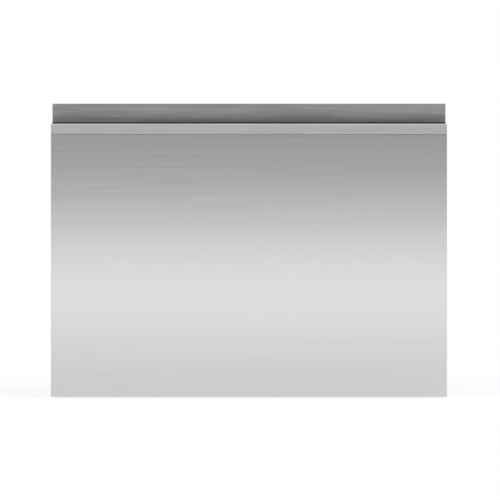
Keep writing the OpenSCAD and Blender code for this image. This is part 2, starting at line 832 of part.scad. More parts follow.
// Rubber seal under the lid
module lid_seal() color("dimgray") difference() {
    slab([seal_inset - lid_x, lid_x - seal_inset], [lid_y[0] + seal_inset, lid_y[1] - seal_inset],
        [seal_z, lid_z]);
    slab([seal_inset + seal_w - lid_x, lid_x - seal_inset - seal_w],
        [lid_y[0] + seal_inset + seal_w, lid_y[1] - seal_inset - seal_w], [seal_z - 1, lid_z + 1]);
}

// Involute of a circle, as a point at the roll angle t in degrees
function involute(rb, t) = let (a = t * PI / 180)
    [rb * (cos(t) + a * sin(t)), rb * (sin(t) - a * cos(t))];
function turned(p, a) = [p[0] * cos(a) - p[1] * sin(a), p[0] * sin(a) + p[1] * cos(a)];

// Outline of the pinion: for each tooth a root, a rising and a falling involute flank
function pinion_points() = let (
    rb = pitch_r * cos(20), ra = pitch_r + gear_module * 0.9, rf = pitch_r - gear_module * 1.2,
    t_max = sqrt(pow(ra / rb, 2) - 1) * 180 / PI,
    flank = 180 * tan(20) / PI - 20,
    half = 90 / teeth + flank
) [for (k = [0:teeth - 1], side = [-1, 1], i = [0:5]) let (
    a = 360 * k / teeth + side * half,
    j = side < 0 ? i : 5 - i,
    p = j == 0 ? [rf, 0] : involute(rb, t_max * (j - 1) / 4)
) turned([p[0], side < 0 ? p[1] : -p[1]], a)];

// Pinion with its shaft, which turns in the actuator
module lid_pinion(s) on_side(s) color("white") {
    translate([gear_x0, pinion_y, pinion_z]) rotate([90, 0, 90]) linear_extrude(gear_w)
        rotate(180 + 180 / teeth) polygon(pinion_points());
    rod_x([gear_x1 - eps, gear_x1 + pinion_shaft_len], pinion_y, pinion_z, pinion_shaft_r);
}

// Gearbox and motor that turn the pinion, with the guide behind the rack
module lid_actuator(s) on_side(s) color("dimgray") {
    guide_y = rack_face_y - gear_module * 1.2 - rack_back - fit;
    difference() {
        slab([actuator_x0, x_in], actuator_y, actuator_z);
        rod_x([actuator_x0 - 1, gear_x1 + pinion_shaft_len + fit], pinion_y, pinion_z,
            pinion_shaft_r + pin_run);
    }
    slab([gear_x0, actuator_x0 + eps], [guide_y - guide_t, guide_y], [actuator_z[0], pinion_z + guide_h]);
    rod_y(x_in - lift_motor_r - slide_run, [actuator_y[1] - eps, actuator_y[1] + lift_motor_len],
        pinion_z, lift_motor_r);
}

// ---- Hose link ----

// Open channel with round ends that carries the hose between its pivots
module link_channel(height) {
    linear_extrude(link_wall) link_outline(link_w / 2);
    linear_extrude(height) difference() {
        link_outline(link_w / 2);
        link_outline(link_w / 2 - link_wall);
    }
}
module link_outline(r) {
    translate([0, -r]) square([link_len, 2 * r]);
    for (x = [0, link_len]) translate([x, 0]) circle(r);
}

// Lower arm: it turns on the drip tray's post, and its far end takes the elbow pin with play
module link_arm_chassis() color("gray")
    translate([link_x, link_pivot_y, link_z[0]]) rotate(-link_angle) difference() {
        union() {
            link_channel(link_h);
            cylinder(r = link_pin_r + link_hub_wall, h = link_h - link_wall);
        }
        translate([0, 0, -1]) cylinder(r = link_pin_r + pin_run, h = link_h + 2);
        translate([link_len, 0, -1]) cylinder(r = link_pin_r + elbow_play, h = link_h);
    }

// Upper arm: it turns on the tub's pin and carries the elbow pin
module link_arm_tub() color("gray")
    translate([link_x, link_tub_y, link_upper_z[0]]) rotate(link_angle) difference() {
        union() {
            link_channel(link_h);
            cylinder(r = link_pin_r + link_hub_wall, h = link_h - link_wall);
            translate([link_len, 0, link_wall - link_h]) cylinder(r = link_pin_r, h = link_h);
        }
        translate([0, 0, -1]) cylinder(r = link_pin_r + pin_run, h = link_h + 2);
    }

// The hose's stretch inside an arm
module link_hose(at, z, turn) color("darkslategray")
    translate([link_x, at, z + link_wall + hose_r + fit]) rotate(turn)
        difference() {
            rod_x([link_w / 2, link_len - link_w / 2 - hose_end], 0, 0, hose_r);
            rod_x([link_w / 2 - 1, link_len - link_w / 2 - hose_end + 1], 0, 0, hose_r - hose_wall);
        }

// ---- Front ----

// Outer steel skin with folded sides and bottom
module front_skin() color("lightgray") {
    z = [floor_gap, z_lip_bottom];
    slab([-half_w, half_w], [y_front, y_front + skin_t], z);
    slab([-half_w, half_w], [y_front, y_front + skin_return], [floor_gap, floor_gap + skin_t]);
    for (s = [-1, 1]) on_side(s) slab([half_w - skin_t, half_w], [y_front, y_front + skin_return], z);
}

// Solid rail above the skin: a face that leans back, a round top edge and a tongue behind the skin
module handle_rail() color("silver") {
    corner = [y_front + lip_lean + lip_r, z_lip_top - lip_r];
    edge = [for (i = [0:4]) let (a = 180 - i * 22.5) [corner[0] + lip_r * cos(a), corner[1] + lip_r * sin(a)]];
    across([-half_w, half_w], concat([[y_front, z_lip_bottom + seam]], edge, [
        [y_front + rail_t, z_lip_top], [y_front + rail_t, z_lip_bottom + seam]]));
    slab([-inner_x, inner_x], [y_front + skin_t, y_front + rail_t], [z_channel_under, z_lip_bottom + seam + eps]);
}

// Dark grip moulding behind the rail, with a bead on top and a cheek at each end of the recess
module grip_liner() color("black") {
    x = half_w - liner_inset;
    y = [y_front + rail_t, y_front + rail_t + liner_t];
    slab([-x, x], y, [z_channel, z_lip_top + liner_rise]);
    slab([-x, x], [y_front + rail_t - bead_lap, y[1]], [z_lip_top, z_lip_top + liner_rise]);
    for (s = [-1, 1]) on_side(s) slab([x - liner_t, x], [y[0], y_strip], [z_channel, z_lip_top - 1]);
}

// Bent sheet that makes the recess's floor and its back
module recess_panel() color("gray") {
    slab([-inner_x, inner_x], [y_front + rail_t, y_strip_back], [z_channel_under, z_channel]);
    slab([-strip_x, strip_x], [y_strip, y_strip_back], [z_channel_under, overall_h]);
}

// Sound and heat insulation behind the skin
module front_insulation() color("dimgray")
    slab([skin_t + insulation_inset - half_w, half_w - skin_t - insulation_inset],
        [y_front + skin_t, y_insulation], [floor_gap + skin_t + 1, z_channel_under - insulation_inset]);

// Plastic moulding between the skin and the tub: a shallow box with one rib across it
module front_inner() color("slategray") {
    z = [floor_gap + skin_t + fit, z_channel_under - fit];
    difference() {
        slab([-inner_x, inner_x], [y_insulation, y_inner], z);
        slab([inner_wall - inner_x, inner_x - inner_wall], [y_insulation - 1, y_inner - inner_wall],
            [z[0] + inner_wall, z[1] - inner_wall]);
    }
    slab([1 - inner_x, inner_x - 1], [y_insulation, y_inner - 1],
        [(z[0] + z[1] - rib_t) / 2, (z[0] + z[1] + rib_t) / 2]);
}

// Trough behind the recess strip that holds the control board
module control_housing() color("dimgray") difference() {
    slab([-strip_x, strip_x], [y_strip_back, y_inner], [z_channel_under, z_fascia]);
    slab([housing_wall - strip_x, strip_x - housing_wall],
        [y_strip_back + housing_wall, y_inner - housing_wall], [z_fascia - trough_d, z_fascia + 1]);
}

// Top cover of the controls, with a hole for each button
module control_fascia() color("black") difference() {
    slab([-strip_x, strip_x], [y_strip_back, y_inner], [z_fascia, overall_h]);
    for (x = button_xs) button_prism(x, fit, [z_fascia - 1, overall_h + 1]);
}

module button_prism(x, grow, z) {
    slab([x - button_w / 2 - grow, x + button_w / 2 + grow],
        [button_y - button_d / 2 - grow, button_y + button_d / 2 + grow], z);
}

// Push button: cap, flange that the fascia holds, and stem above its switch
module button(index) color("silver") {
    x = button_xs[index];
    z = z_fascia - fit - button_flange_t;
    button_prism(x, 0, [z, overall_h - button_drop]);
    button_prism(x, button_flange, [z, z + button_flange_t]);
    rod_z(x, button_y, [z_board + board_t + switch_h + fit + button_travel, z + eps], stem_r);
}

// Control board with a switch under each button, on two rails of the housing
module control_board() color("green") {
    y = [y_strip_back + housing_wall + fit, y_inner - housing_wall - fit];
    slab([board_end - strip_x, strip_x - board_end], y, [z_board, z_board + board_t]);
    for (x = button_xs) slab([x - switch_w / 2, x + switch_w / 2],
        [button_y - switch_w / 2, button_y + switch_w / 2], [z_board + board_t, z_board + board_t + switch_h]);
    for (x = [-button_pitch * 3, 0, button_pitch * 3])
        slab([x - board_foot_w / 2, x + board_foot_w / 2], y, [z_fascia - trough_d, z_board + eps]);
}

// ---- Tub ----

// Tub with its rim, sump well, rotor can, slide ribs and the ear of the hose link
module tub() color("gainsboro") difference() {
    union() {
        round_prism([-wall_x, wall_x], wall_y, [tub_lift, z_rim], tub_r);
        round_prism([rim_trim - rim_x, rim_x - rim_trim], rim_y, [z_rim - rim_t, z_rim], tub_r);
        rod_z(0, tub_cy, [z_well - tub_wall, tub_lift + 1], well_r + tub_wall);
        rod_z(0, tub_cy, [z_can - can_wall, z_well], can_r + can_wall);
        for (s = [-1, 1], y = [tub_y[0] + rib_setback, tub_cy, tub_y[1] - rib_setback]) on_side(s)
            slab([wall_x - 1, slide_x0], [y - rib_w / 2, y + rib_w / 2],
                [slide_z - rib_h / 2, slide_z + rib_h / 2]);
        slab([link_x - link_w / 2, link_x + link_w / 2], [wall_y[1] - link_ear_lap, link_tub_y + link_ear_end],
            [link_upper_z[1] + 1, tub_lift + 2]);
        rod_z(link_x, link_tub_y, [link_upper_z[0] + link_wall, tub_lift], link_pin_r);
    }
    round_prism([-tub_x, tub_x], tub_y, [z_floor, z_rim + 1], tub_r - tub_wall);
    rod_z(0, tub_cy, [z_well, z_floor + 1], well_r);
    rod_z(0, tub_cy, [z_can, z_floor], can_r);
    slab([dispenser_lap - dispenser_x, dispenser_x - dispenser_lap], [wall_y[0] - 1, tub_y[0] + 1],
        [dispenser_z - dispenser_h / 2 + dispenser_lap, dispenser_z + dispenser_h / 2 - dispenser_lap]);
}

// Dispenser in the tub's front wall: face plate, rear box, detergent cup, hinge ears and cap seat
module dispenser_body() color("gray") difference() {
    union() {
        slab([-dispenser_x, dispenser_x], [tub_y[0], plate_y],
            [dispenser_z - dispenser_h / 2, dispenser_z + dispenser_h / 2]);
        slab([dispenser_lap + fit - dispenser_x, dispenser_x - dispenser_lap - fit],
            [wall_y[0] - dispenser_back, tub_y[0] + eps],
            [dispenser_z - dispenser_h / 2 + dispenser_lap + fit, dispenser_z + dispenser_h / 2 - dispenser_lap - fit]);
        for (s = [-1, 1]) let (x = flap_x + s * (flap_w / 2 + ear_gap))
            slab([x - ear_t / 2, x + ear_t / 2], [plate_y - eps, flap_pin_y + ear_gap],
                [flap_pin_z - ear_t, flap_pin_z + ear_gap]);
    }
    slab([flap_x - flap_w / 2 + cup_inset, flap_x + flap_w / 2 - cup_inset], [plate_y - cup_depth, plate_y + 1],
        [dispenser_z - flap_h / 2 + cup_inset, dispenser_z + flap_h / 2 - cup_inset]);
    rod_x([flap_x - flap_w / 2 - ear_gap - ear_t, flap_x + flap_w / 2 + ear_gap + ear_t], flap_pin_y,
        flap_pin_z, flap_pin_r + pin_run);
    rod_y(cap_x, [plate_y - cap_neck - 1, plate_y + 1], dispenser_z, cap_r - cap_neck_inset + pin_run);
}

// Detergent flap with its hinge pin
module dispenser_flap() color("lightgray") {
    rod_x([flap_x - flap_w / 2 - ear_gap - flap_pin_r, flap_x + flap_w / 2 + ear_gap + flap_pin_r],
        flap_pin_y, flap_pin_z, flap_pin_r);
    rod_x([flap_x - flap_w / 2, flap_x + flap_w / 2], flap_pin_y, flap_pin_z, flap_pin_r + 0.7);
    slab([flap_x - flap_w / 2, flap_x + flap_w / 2], [plate_y + fit + 1, plate_y + fit + 1 + flap_t],
        [flap_pin_z, flap_pin_z + flap_h]);
}

// Rinse aid cap: a quarter turn locks it
module rinse_cap() color("steelblue") {
    rod_y(cap_x, [plate_y + fit, plate_y + fit + cap_t], dispenser_z, cap_r);
    rod_y(cap_x, [plate_y - cap_neck, plate_y + fit + eps], dispenser_z, cap_r - cap_neck_inset);
    slab([cap_x - cap_r + 2, cap_x + cap_r - 2], [plate_y + fit + cap_t - eps, plate_y + fit + cap_t + cap_grip_h],
        [dispenser_z - cap_t / 2, dispenser_z + cap_t / 2]);
}

// ---- Wash system ----

// Round filter plate on the tub's floor, with a tower for the arm and a seat for the drain filter
module filter_plate() color("slategray") translate([0, tub_cy, 0]) difference() {
    union() {
        rod_z(0, 0, [z_floor, z_filter], filter_r);
        rod_z(0, 0, [z_floor, z_tower], tower_r);
    }
    rod_z(0, 0, [z_floor - 1, z_tower + 1], tower_r - tower_wall);
    rod_z(drain_at[0], drain_at[1], [z_floor - 1, z_filter + 1], drain_r + fit);
    for (k = [0:23]) if (abs(k * 15 - 90) > 25) rotate(k * 15) slab([tower_r + 12, well_r - 8],
        [-slot_w / 2, slot_w / 2], [z_floor - 1, z_filter + 1]);
}

// Drain filter: mesh cup with a grip, turned to lock it
module drain_filter() color("steelblue") translate([drain_at[0], tub_cy + drain_at[1], 0]) difference() {
    union() {
        rod_z(0, 0, [z_heater + fit, z_filter + fit + 1], drain_r);
        rod_z(0, 0, [z_filter + fit, z_filter + fit + drain_wall], drain_r + drain_grip);
    }
    rod_z(0, 0, [z_heater + fit + drain_wall, z_filter + 3], drain_r - drain_wall);
    for (a = [0:30:150]) rotate(a) slab([-drain_r - 1, drain_r + 1], [-slot_w / 2, slot_w / 2],
        [z_heater + 6, z_floor - 3]);
}

// Impeller and magnet rotor, one piece that turns on the fixed shaft
module wash_rotor() color("white") translate([0, tub_cy, 0]) difference() {
    union() {
        rod_z(0, 0, [z_can + fit, z_impeller + disc_t / 2], can_r - can_run);
        rod_z(0, 0, [z_impeller, z_impeller + disc_t], impeller_r);
        for (k = [0:5]) rotate(k * 60 + vane_angle) slab([shaft_r + vane_inset, impeller_r - vane_inset],
            [-blade_t / 2, blade_t / 2], [z_impeller + disc_t / 2, z_impeller + impeller_h - 1]);
        rod_z(0, 0, [z_impeller, z_impeller + impeller_h], shaft_r + rotor_hub_wall);
    }
    rod_z(0, 0, [z_can - 1, z_impeller + impeller_h + 1], shaft_r + pin_run);
}

// Fixed steel shaft from the can's floor up to the arm, with the nut that holds the arm
module rotor_shaft() color("silver") translate([0, tub_cy, 0]) {
    rod_z(0, 0, [z_can, z_seat], shaft_r);
    rod_z(0, 0, [z_seat - eps, z_hub + fit + shaft_nut_h + 1], shaft_end_r);
    translate([0, 0, z_hub + fit]) cylinder(r = shaft_end_r + nut_wall, h = shaft_nut_h, $fn = 6);
}

// Spray arm with its hub, which covers the tower, and a row of jets on each blade
module spray_arm() color("slategray") translate([0, tub_cy, 0]) difference() {
    union() {
        translate([0, 0, arm_z[0]]) linear_extrude(arm_t) {
            polygon([[arm_tip_w - arm_len, 1 - arm_tip_w], [0, -arm_root_w],
                [arm_len - arm_tip_w, 1 - arm_tip_w], [arm_len - arm_tip_w, arm_tip_w - 1],
                [0, arm_root_w], [arm_tip_w - arm_len, arm_tip_w - 1]]);
            for (s = [-1, 1]) translate([s * (arm_len - arm_tip_w), 0]) circle(arm_tip_w);
        }
        rod_z(0, 0, [z_filter + hub_lift, z_hub], hub_r);
        for (s = [-1, 1], k = [1:5]) rod_z(s * (arm_len * k / 5.6 - 2), s * jet_r * (k % 2 * 2 - 1),
            [arm_z[1] - eps, arm_z[1] + jet_h], jet_r);
    }
    rod_z(0, 0, [z_filter, z_seat + fit], tower_r + tower_run);
    rod_z(0, 0, [z_filter, z_hub + 1], shaft_end_r + pin_run);
}

// Ring heater in the floor of the well
module heater_plate() color("silver") translate([0, tub_cy, 0]) difference() {
    rod_z(0, 0, [z_well, z_heater], heater_r[1]);
    rod_z(0, 0, [z_well - 1, z_heater + 1], heater_r[0]);
}

// Motor cup under the well with its three lugs
module motor_housing() color("gray") translate([0, tub_cy, 0]) {
    difference() {
        union() {
            rod_z(0, 0, [motor_z, z_well - tub_wall], stator_r + motor_wall);
            for (a = [90, 210, 330]) rotate(a) rod_z(stator_r + lug_r, 0,
                [z_well - tub_wall - lug_h, z_well - tub_wall], lug_r);
        }
        rod_z(0, 0, [motor_z + motor_base_t, z_well], stator_r + fit);
    }
}

// Wound stator around the can
module motor_stator() color("peru") translate([0, tub_cy, 0]) difference() {
    rod_z(0, 0, [motor_z + motor_base_t, z_well - tub_wall - coil_gap], stator_r);
    rod_z(0, 0, [motor_z, z_well], can_r + can_wall + fit);
    for (k = [0:11]) rotate(k * 30) slab([can_r + can_wall + coil_slot + 2, stator_r - coil_slot],
        [-coil_slot / 2, coil_slot / 2], [motor_z, z_well]);
}

// Drain pump under the tub with its outlet
module drain_pump() color("dimgray") translate([pump_at[0], pump_at[1], 0]) {
    rod_z(0, 0, [tub_lift - pump_cover_h, tub_lift], pump_cover_r);
    rod_z(0, 0, [tub_lift - pump_h, tub_lift - pump_cover_h + eps], pump_body_r);
    rod_y(0, [pump_cover_r - pump_outlet_r, pump_outlet_len], tub_lift - pump_outlet_r - 2, pump_outlet_r);
}

// ---- Racks ----

// Grids and legs of the rack, before its rod holes
module rack_bars() {
    x = [-rack_x, rack_x];
    nx = floor(2 * rack_x / bar_pitch);
    ny = floor((rack_y[1] - rack_y[0]) / bar_pitch);
    xs = [for (i = [0:nx]) -rack_x + i * (2 * rack_x - bar_t) / nx];
    ys = [for (i = [0:ny]) rack_y[0] + i * (rack_y[1] - rack_y[0] - bar_t) / ny];
    for (v = xs) slab([v, v + bar_t], rack_y, [rack_z, rack_z + bar_t]);
    for (v = ys) slab(x, [v, v + bar_t], [rack_z, rack_z + bar_t]);
    for (v = xs, w = [ys[0], ys[ny]]) slab([v, v + bar_t], [w, w + bar_t], [rack_z, rack_top]);
    for (v = ys, w = [xs[0], xs[nx]]) slab([w, w + bar_t], [v, v + bar_t], [rack_z, rack_top]);
    for (z = [rack_z + rack_h * 0.5, rack_top - bar_t]) {
        for (w = [ys[0], ys[ny]]) slab(x, [w, w + bar_t], [z, z + bar_t]);
        for (w = [xs[0], xs[nx]]) slab([w, w + bar_t], rack_y, [z, z + bar_t]);
    }
    for (s = [-1, 1], v = [ys[0], ys[ny] + bar_t - ear_w]) on_side(s)
        slab([rack_x - ear_w, rack_x], [v, v + ear_w], [z_floor, rack_z + bar_t]);
    for (v = row_x, y = ear_ys) slab([v - ear_w / 2, v + ear_w / 2], [y - bar_t / 2, y + bar_t / 2],
        [rack_z, rod_z + rod_r + ear_wall]);
    for (s = [-1, 1], y = ear_ys) on_side(s)
        slab([cup_x - rod_r - ear_wall, rack_x - 1], [y - bar_t / 2, y + bar_t / 2],
            [cup_z - rod_r - ear_wall, cup_z + rod_r + ear_wall]);
    for (v = row_x, y = ear_ys) slab([v - bar_pitch, v + bar_pitch], [y - bar_t / 2, y + bar_t / 2],
        [rack_z, rack_z + bar_t]);
    for (s = [-1, 1], y = ear_ys) on_side(s)
        slab([rack_x - bar_t, rack_x], [y - bar_t / 2, y + bar_t / 2], [rack_z, rack_top]);
}

// Bar rack as flat grids, a floor and four walls, and four legs, each a hair clear of the next
module base_rack() color("lightslategray") difference() {
    z = [rack_z + bar_t + grid_gap, rack_top + 1];
    inner = rack_x - bar_t - rod_r * 2 - ear_wall * 3;
    side_y = [rack_y[0] + bar_t + grid_gap, rack_y[1] - bar_t - grid_gap];
    union() {
        intersection() {
            rack_bars();
            union() {
                slab([-rack_x, rack_x], rack_y, [z_floor - 1, rack_z - grid_gap]);
                slab([-rack_x, rack_x], rack_y, [rack_z, rack_z + bar_t]);
                slab([-inner, inner], [side_y[0], side_y[1]], [rack_z, rod_z + rod_r + ear_wall]);
            }
        }
        for (y = [[rack_y[0] - 1, rack_y[0] + bar_t], [rack_y[1] - bar_t, rack_y[1] + 1]]) intersection() {
            rack_bars();
            slab([-rack_x - 1, rack_x + 1], y, z);
        }
        for (s = [-1, 1]) intersection() {
            rack_bars();
            on_side(s) slab([inner, rack_x + 1], side_y, z);
        }
    }
    for (v = row_x) rod_y(v, [row_y[0] - 5, row_y[1] + 5], rod_z, rod_r + pin_run);
    for (s = [-1, 1]) rod_y(s * cup_x, [row_y[0] - 5, row_y[1] + 5], cup_z, rod_r + pin_run);
}

// Row of plate tines on a rod, which folds down to the left
module tine_row(x) color("steelblue") {
    rod_y(x, [row_y[0] + 1, row_y[1] - 1], rod_z, rod_r);
    for (k = [0:tine_count - 1]) rod_z(x, row_y[0] + (k + 0.5) * tine_step, [rod_z, rod_z + tine_h], tine_r);
}

// Cup shelf on a rod at the rack's side, which folds up
module cup_rack(s) on_side(s) color("steelblue") {
    y = [ear_ys[0] + 4, ear_ys[2] - 4];
    z = [cup_z - cup_bar_t / 2, cup_z + cup_bar_t / 2];
    rod_y(cup_x, [ear_ys[0] - 4, ear_ys[2] + 4], cup_z, rod_r);
    for (x = [cup_x - cup_d, cup_x - cup_d / 2]) slab([x - cup_bar_t / 2, x + cup_bar_t / 2], y, z);
    step = (y[1] - y[0] - cup_bar_t) / 8;
    for (k = [0:8]) if (k != 4) slab([cup_x - cup_d, cup_x], [y[0] + k * step, y[0] + k * step + cup_bar_t], z);
}

// Two cutlery baskets side by side, with two cells each, which stand on the rack's floor
module cutlery_basket() color("steelblue") {
    z = [rack_z + bar_t, rack_z + bar_t + cutlery_h];
    cell = (cutlery_x - grid_gap / 2 - cutlery_wall) / 2;
    for (s = [-1, 1]) on_side(s) difference() {
        slab([grid_gap / 2, cutlery_x], cutlery_y, z);
        for (k = [0:1]) slab([grid_gap / 2 + cutlery_wall + k * cell, grid_gap / 2 + (k + 1) * cell],
            [cutlery_y[0] + cutlery_wall, cutlery_y[1] - cutlery_wall], [z[0] + cutlery_wall + 1, z[1] + 1]);
    }
}

// ---- Nodes ----

side_panel(-1);  // side_panel_left
side_panel(1);  // side_panel_right
top_panel();
rear_panel();
base_tray();
front_crossbar();
slide_outer(-1);  // slide_outer_left
slide_outer(1);  // slide_outer_right
lid_actuator(-1);  // lid_actuator_left
lid_actuator(1);  // lid_actuator_right
inlet_valve();
drain_spigot();
cord_gland();
control_module();
chassis_screws();
door_gasket();
levelling_feet();
lid();
lid_seal();
lid_pinion(-1);  // lid_pinion_left
lid_pinion(1);  // lid_pinion_right
slide_middle(-1);  // slide_middle_left
slide_middle(1);  // slide_middle_right
link_arm_chassis();
link_hose(link_pivot_y, link_z[0], -link_angle);  // link_hose_chassis
link_arm_tub();
link_hose(link_tub_y, link_upper_z[0], link_angle);  // link_hose_tub
front_skin();
handle_rail();
grip_liner();
recess_panel();
front_insulation();
front_inner();
control_housing();
control_fascia();
control_board();
tub();
slide_inner(-1);  // slide_inner_left
slide_inner(1);  // slide_inner_right
filter_plate();
motor_housing();
motor_stator();
rotor_shaft();
heater_plate();
drain_pump();
dispenser_body();
base_rack();
cutlery_basket();
button(0);  // button_power
button(1);  // button_program
button(2);  // button_start
wash_rotor();
spray_arm();
dispenser_flap();
rinse_cap();
drain_filter();
tine_row(row_x[0]);  // tine_row_left
tine_row(row_x[1]);  // tine_row_right
cup_rack(-1);  // cup_rack_left
cup_rack(1);  // cup_rack_right
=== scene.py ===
import json
import math
from contextlib import contextmanager

import bmesh
import bpy
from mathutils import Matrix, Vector


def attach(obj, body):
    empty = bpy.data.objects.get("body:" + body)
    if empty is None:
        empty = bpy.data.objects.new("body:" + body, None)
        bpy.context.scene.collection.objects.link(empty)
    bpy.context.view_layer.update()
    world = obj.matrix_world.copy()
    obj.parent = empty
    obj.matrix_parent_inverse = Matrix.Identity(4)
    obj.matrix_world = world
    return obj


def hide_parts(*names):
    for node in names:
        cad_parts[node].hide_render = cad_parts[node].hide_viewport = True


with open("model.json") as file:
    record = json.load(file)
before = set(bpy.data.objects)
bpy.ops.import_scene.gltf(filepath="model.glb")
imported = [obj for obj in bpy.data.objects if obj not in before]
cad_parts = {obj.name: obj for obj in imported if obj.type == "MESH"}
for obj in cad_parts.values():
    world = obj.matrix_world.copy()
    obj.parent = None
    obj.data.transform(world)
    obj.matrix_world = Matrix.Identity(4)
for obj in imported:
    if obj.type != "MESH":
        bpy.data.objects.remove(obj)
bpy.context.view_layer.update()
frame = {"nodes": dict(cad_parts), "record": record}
cadNodes = frame["nodes"]
slotOf = {row["node"]: row["material_slot"] for row in frame["record"]["subparts"]}
bodyOf = {node: body for body, names in frame["record"]["behaviour"]["bodies"].items() for node in names}
print("frame loaded:", len(cadNodes), "nodes")


def newObject(name, data):
    made = bpy.data.objects.new(name, data)
    bpy.context.scene.collection.objects.link(made)
    return made


# the camera stands straight in front of the closed drawer
cameraView = {"place": (0.0016, -5.2865, 0.2238), "lens": 238.1, "sensor": 36.0, "farthest": 60}


def placeCamera(view):
    data = bpy.data.cameras.new("photoCamera")
    data.lens, data.sensor_width, data.clip_end = view["lens"], view["sensor"], view["farthest"]
    camera = newObject("photoCamera", data)
    camera.location = view["place"]
    camera.rotation_euler = (math.radians(90), 0, 0)
    bpy.context.scene.camera = camera


placeCamera(cameraView)
print("camera placed")


def feed(tree, socket, value):
    # takes another socket to link, a colour of three numbers, or a plain value
    if hasattr(value, "links"):
        tree.links.new(value, socket)
    else:
        socket.default_value = (*value, 1) if socket.type == "RGBA" else value


def newNode(tree, kind, feeds=None, **values):
    made = tree.nodes.new(kind)
    for key, value in values.items():
        setattr(made, key, value)
    for label, value in (feeds or {}).items():
        feed(tree, made.inputs[label], value)
    return made


def newGroup(name, kind, inputs, outputs):
    tree = bpy.data.node_groups.new(name, kind)
    for way, rows in (("INPUT", inputs), ("OUTPUT", outputs)):
        for label, holds, *start in rows:
            socket = tree.interface.new_socket(label, in_out=way, socket_type="NodeSocket" + holds)
            if start:
                socket.default_value = start[0]
    return tree, newNode(tree, "NodeGroupInput").outputs, newNode(tree, "NodeGroupOutput").inputs


def mathNode(tree, operation, first, second, clamp=False):
    return newNode(tree, "ShaderNodeMath", {0: first, 1: second}, operation=operation, use_clamp=clamp).outputs[0]


def sharedOut(tree, first, second, share):
    # the first value's share and the rest from the second
    parts = [mathNode(tree, "MULTIPLY", value, part) for value, part in ((first, share), (second, 1 - share))]
    return mathNode(tree, "ADD", *parts)


def rangeNode(tree, value, low, high):
    return newNode(tree, "ShaderNodeMapRange", {"Value": value, "To Min": low, "To Max": high}).outputs["Result"]


def rampNode(tree, value, stops):
    made = newNode(tree, "ShaderNodeValToRGB", {"Fac": value})
    elements = made.color_ramp.elements
    elements.remove(elements[1])
    elements[0].position, elements[0].color = stops[0][0], (*stops[0][1], 1)
    for place, colour in stops[1:]:
        elements.new(place).color = (*colour, 1)
    return made.outputs["Color"]


def mixColour(tree, mask, first, second, **values):
    return newNode(tree, "ShaderNodeMix", {0: mask, 6: first, 7: second}, data_type="RGBA", **values).outputs[2]


def noiseNode(tree, vector, scale, detail, roughness, distortion=0):
    feeds = {"Vector": vector, "Scale": scale, "Detail": detail, "Roughness": roughness, "Distortion": distortion}
    return newNode(tree, "ShaderNodeTexNoise", feeds).outputs["Fac"]


def objectCoords(tree):
    return newNode(tree, "ShaderNodeTexCoord").outputs["Object"]


# surface effects that several finishes share
brushEffect = {"coarser": 0.22, "fineShare": 0.65, "streakGain": 6, "middle": 0.5, "cloudScale": 4}
mouldEffect = {"mottleScale": 14, "scuffScale": 60, "scuffStart": 0.58, "scuffGain": 5}
zincEffect = {"warpScale": 40, "warp": 0.006, "edgeGain": 8, "cloudScale": 7}


def makeBrushGroup(effect):
    tree, given, result = newGroup(
        "brushedGrain", "ShaderNodeTree",
        [("Vector", "Vector"), ("Fineness", "Float", 900), ("Streakiness", "Float", 0.5)],
        [("Grain", "Float"), ("Streak", "Float"), ("Cloud", "Float")])
    fine = noiseNode(tree, given["Vector"], given["Fineness"], 4, 0.6)
    coarseScale = mathNode(tree, "MULTIPLY", given["Fineness"], effect["coarser"])
    coarse = noiseNode(tree, given["Vector"], coarseScale, 3, 0.5)
    gain = mathNode(tree, "MULTIPLY", given["Streakiness"], effect["streakGain"])
    sharp = mathNode(tree, "MULTIPLY", mathNode(tree, "SUBTRACT", coarse, effect["middle"]), gain)
    feed(tree, result["Grain"], sharedOut(tree, fine, coarse, effect["fineShare"]))
    feed(tree, result["Streak"], mathNode(tree, "ADD", sharp, effect["middle"], clamp=True))
    feed(tree, result["Cloud"], noiseNode(tree, given["Vector"], effect["cloudScale"], 2, 0.5))
    return tree


def makeMouldGroup(effect):
    tree, given, result = newGroup(
        "mouldedSkin", "ShaderNodeTree", [("Vector", "Vector"), ("Scale", "Float", 1400)],
        [("Height", "Float"), ("Mottle", "Float"), ("Scuff", "Float")])
    scuff = noiseNode(tree, given["Vector"], effect["scuffScale"], 6, 0.7, 1.5)
    over = mathNode(tree, "SUBTRACT", scuff, effect["scuffStart"])
    feed(tree, result["Height"], noiseNode(tree, given["Vector"], given["Scale"], 2, 0.6))
    feed(tree, result["Mottle"], noiseNode(tree, given["Vector"], effect["mottleScale"], 4, 0.55))
    feed(tree, result["Scuff"], mathNode(tree, "MULTIPLY", over, effect["scuffGain"], clamp=True))
    return tree


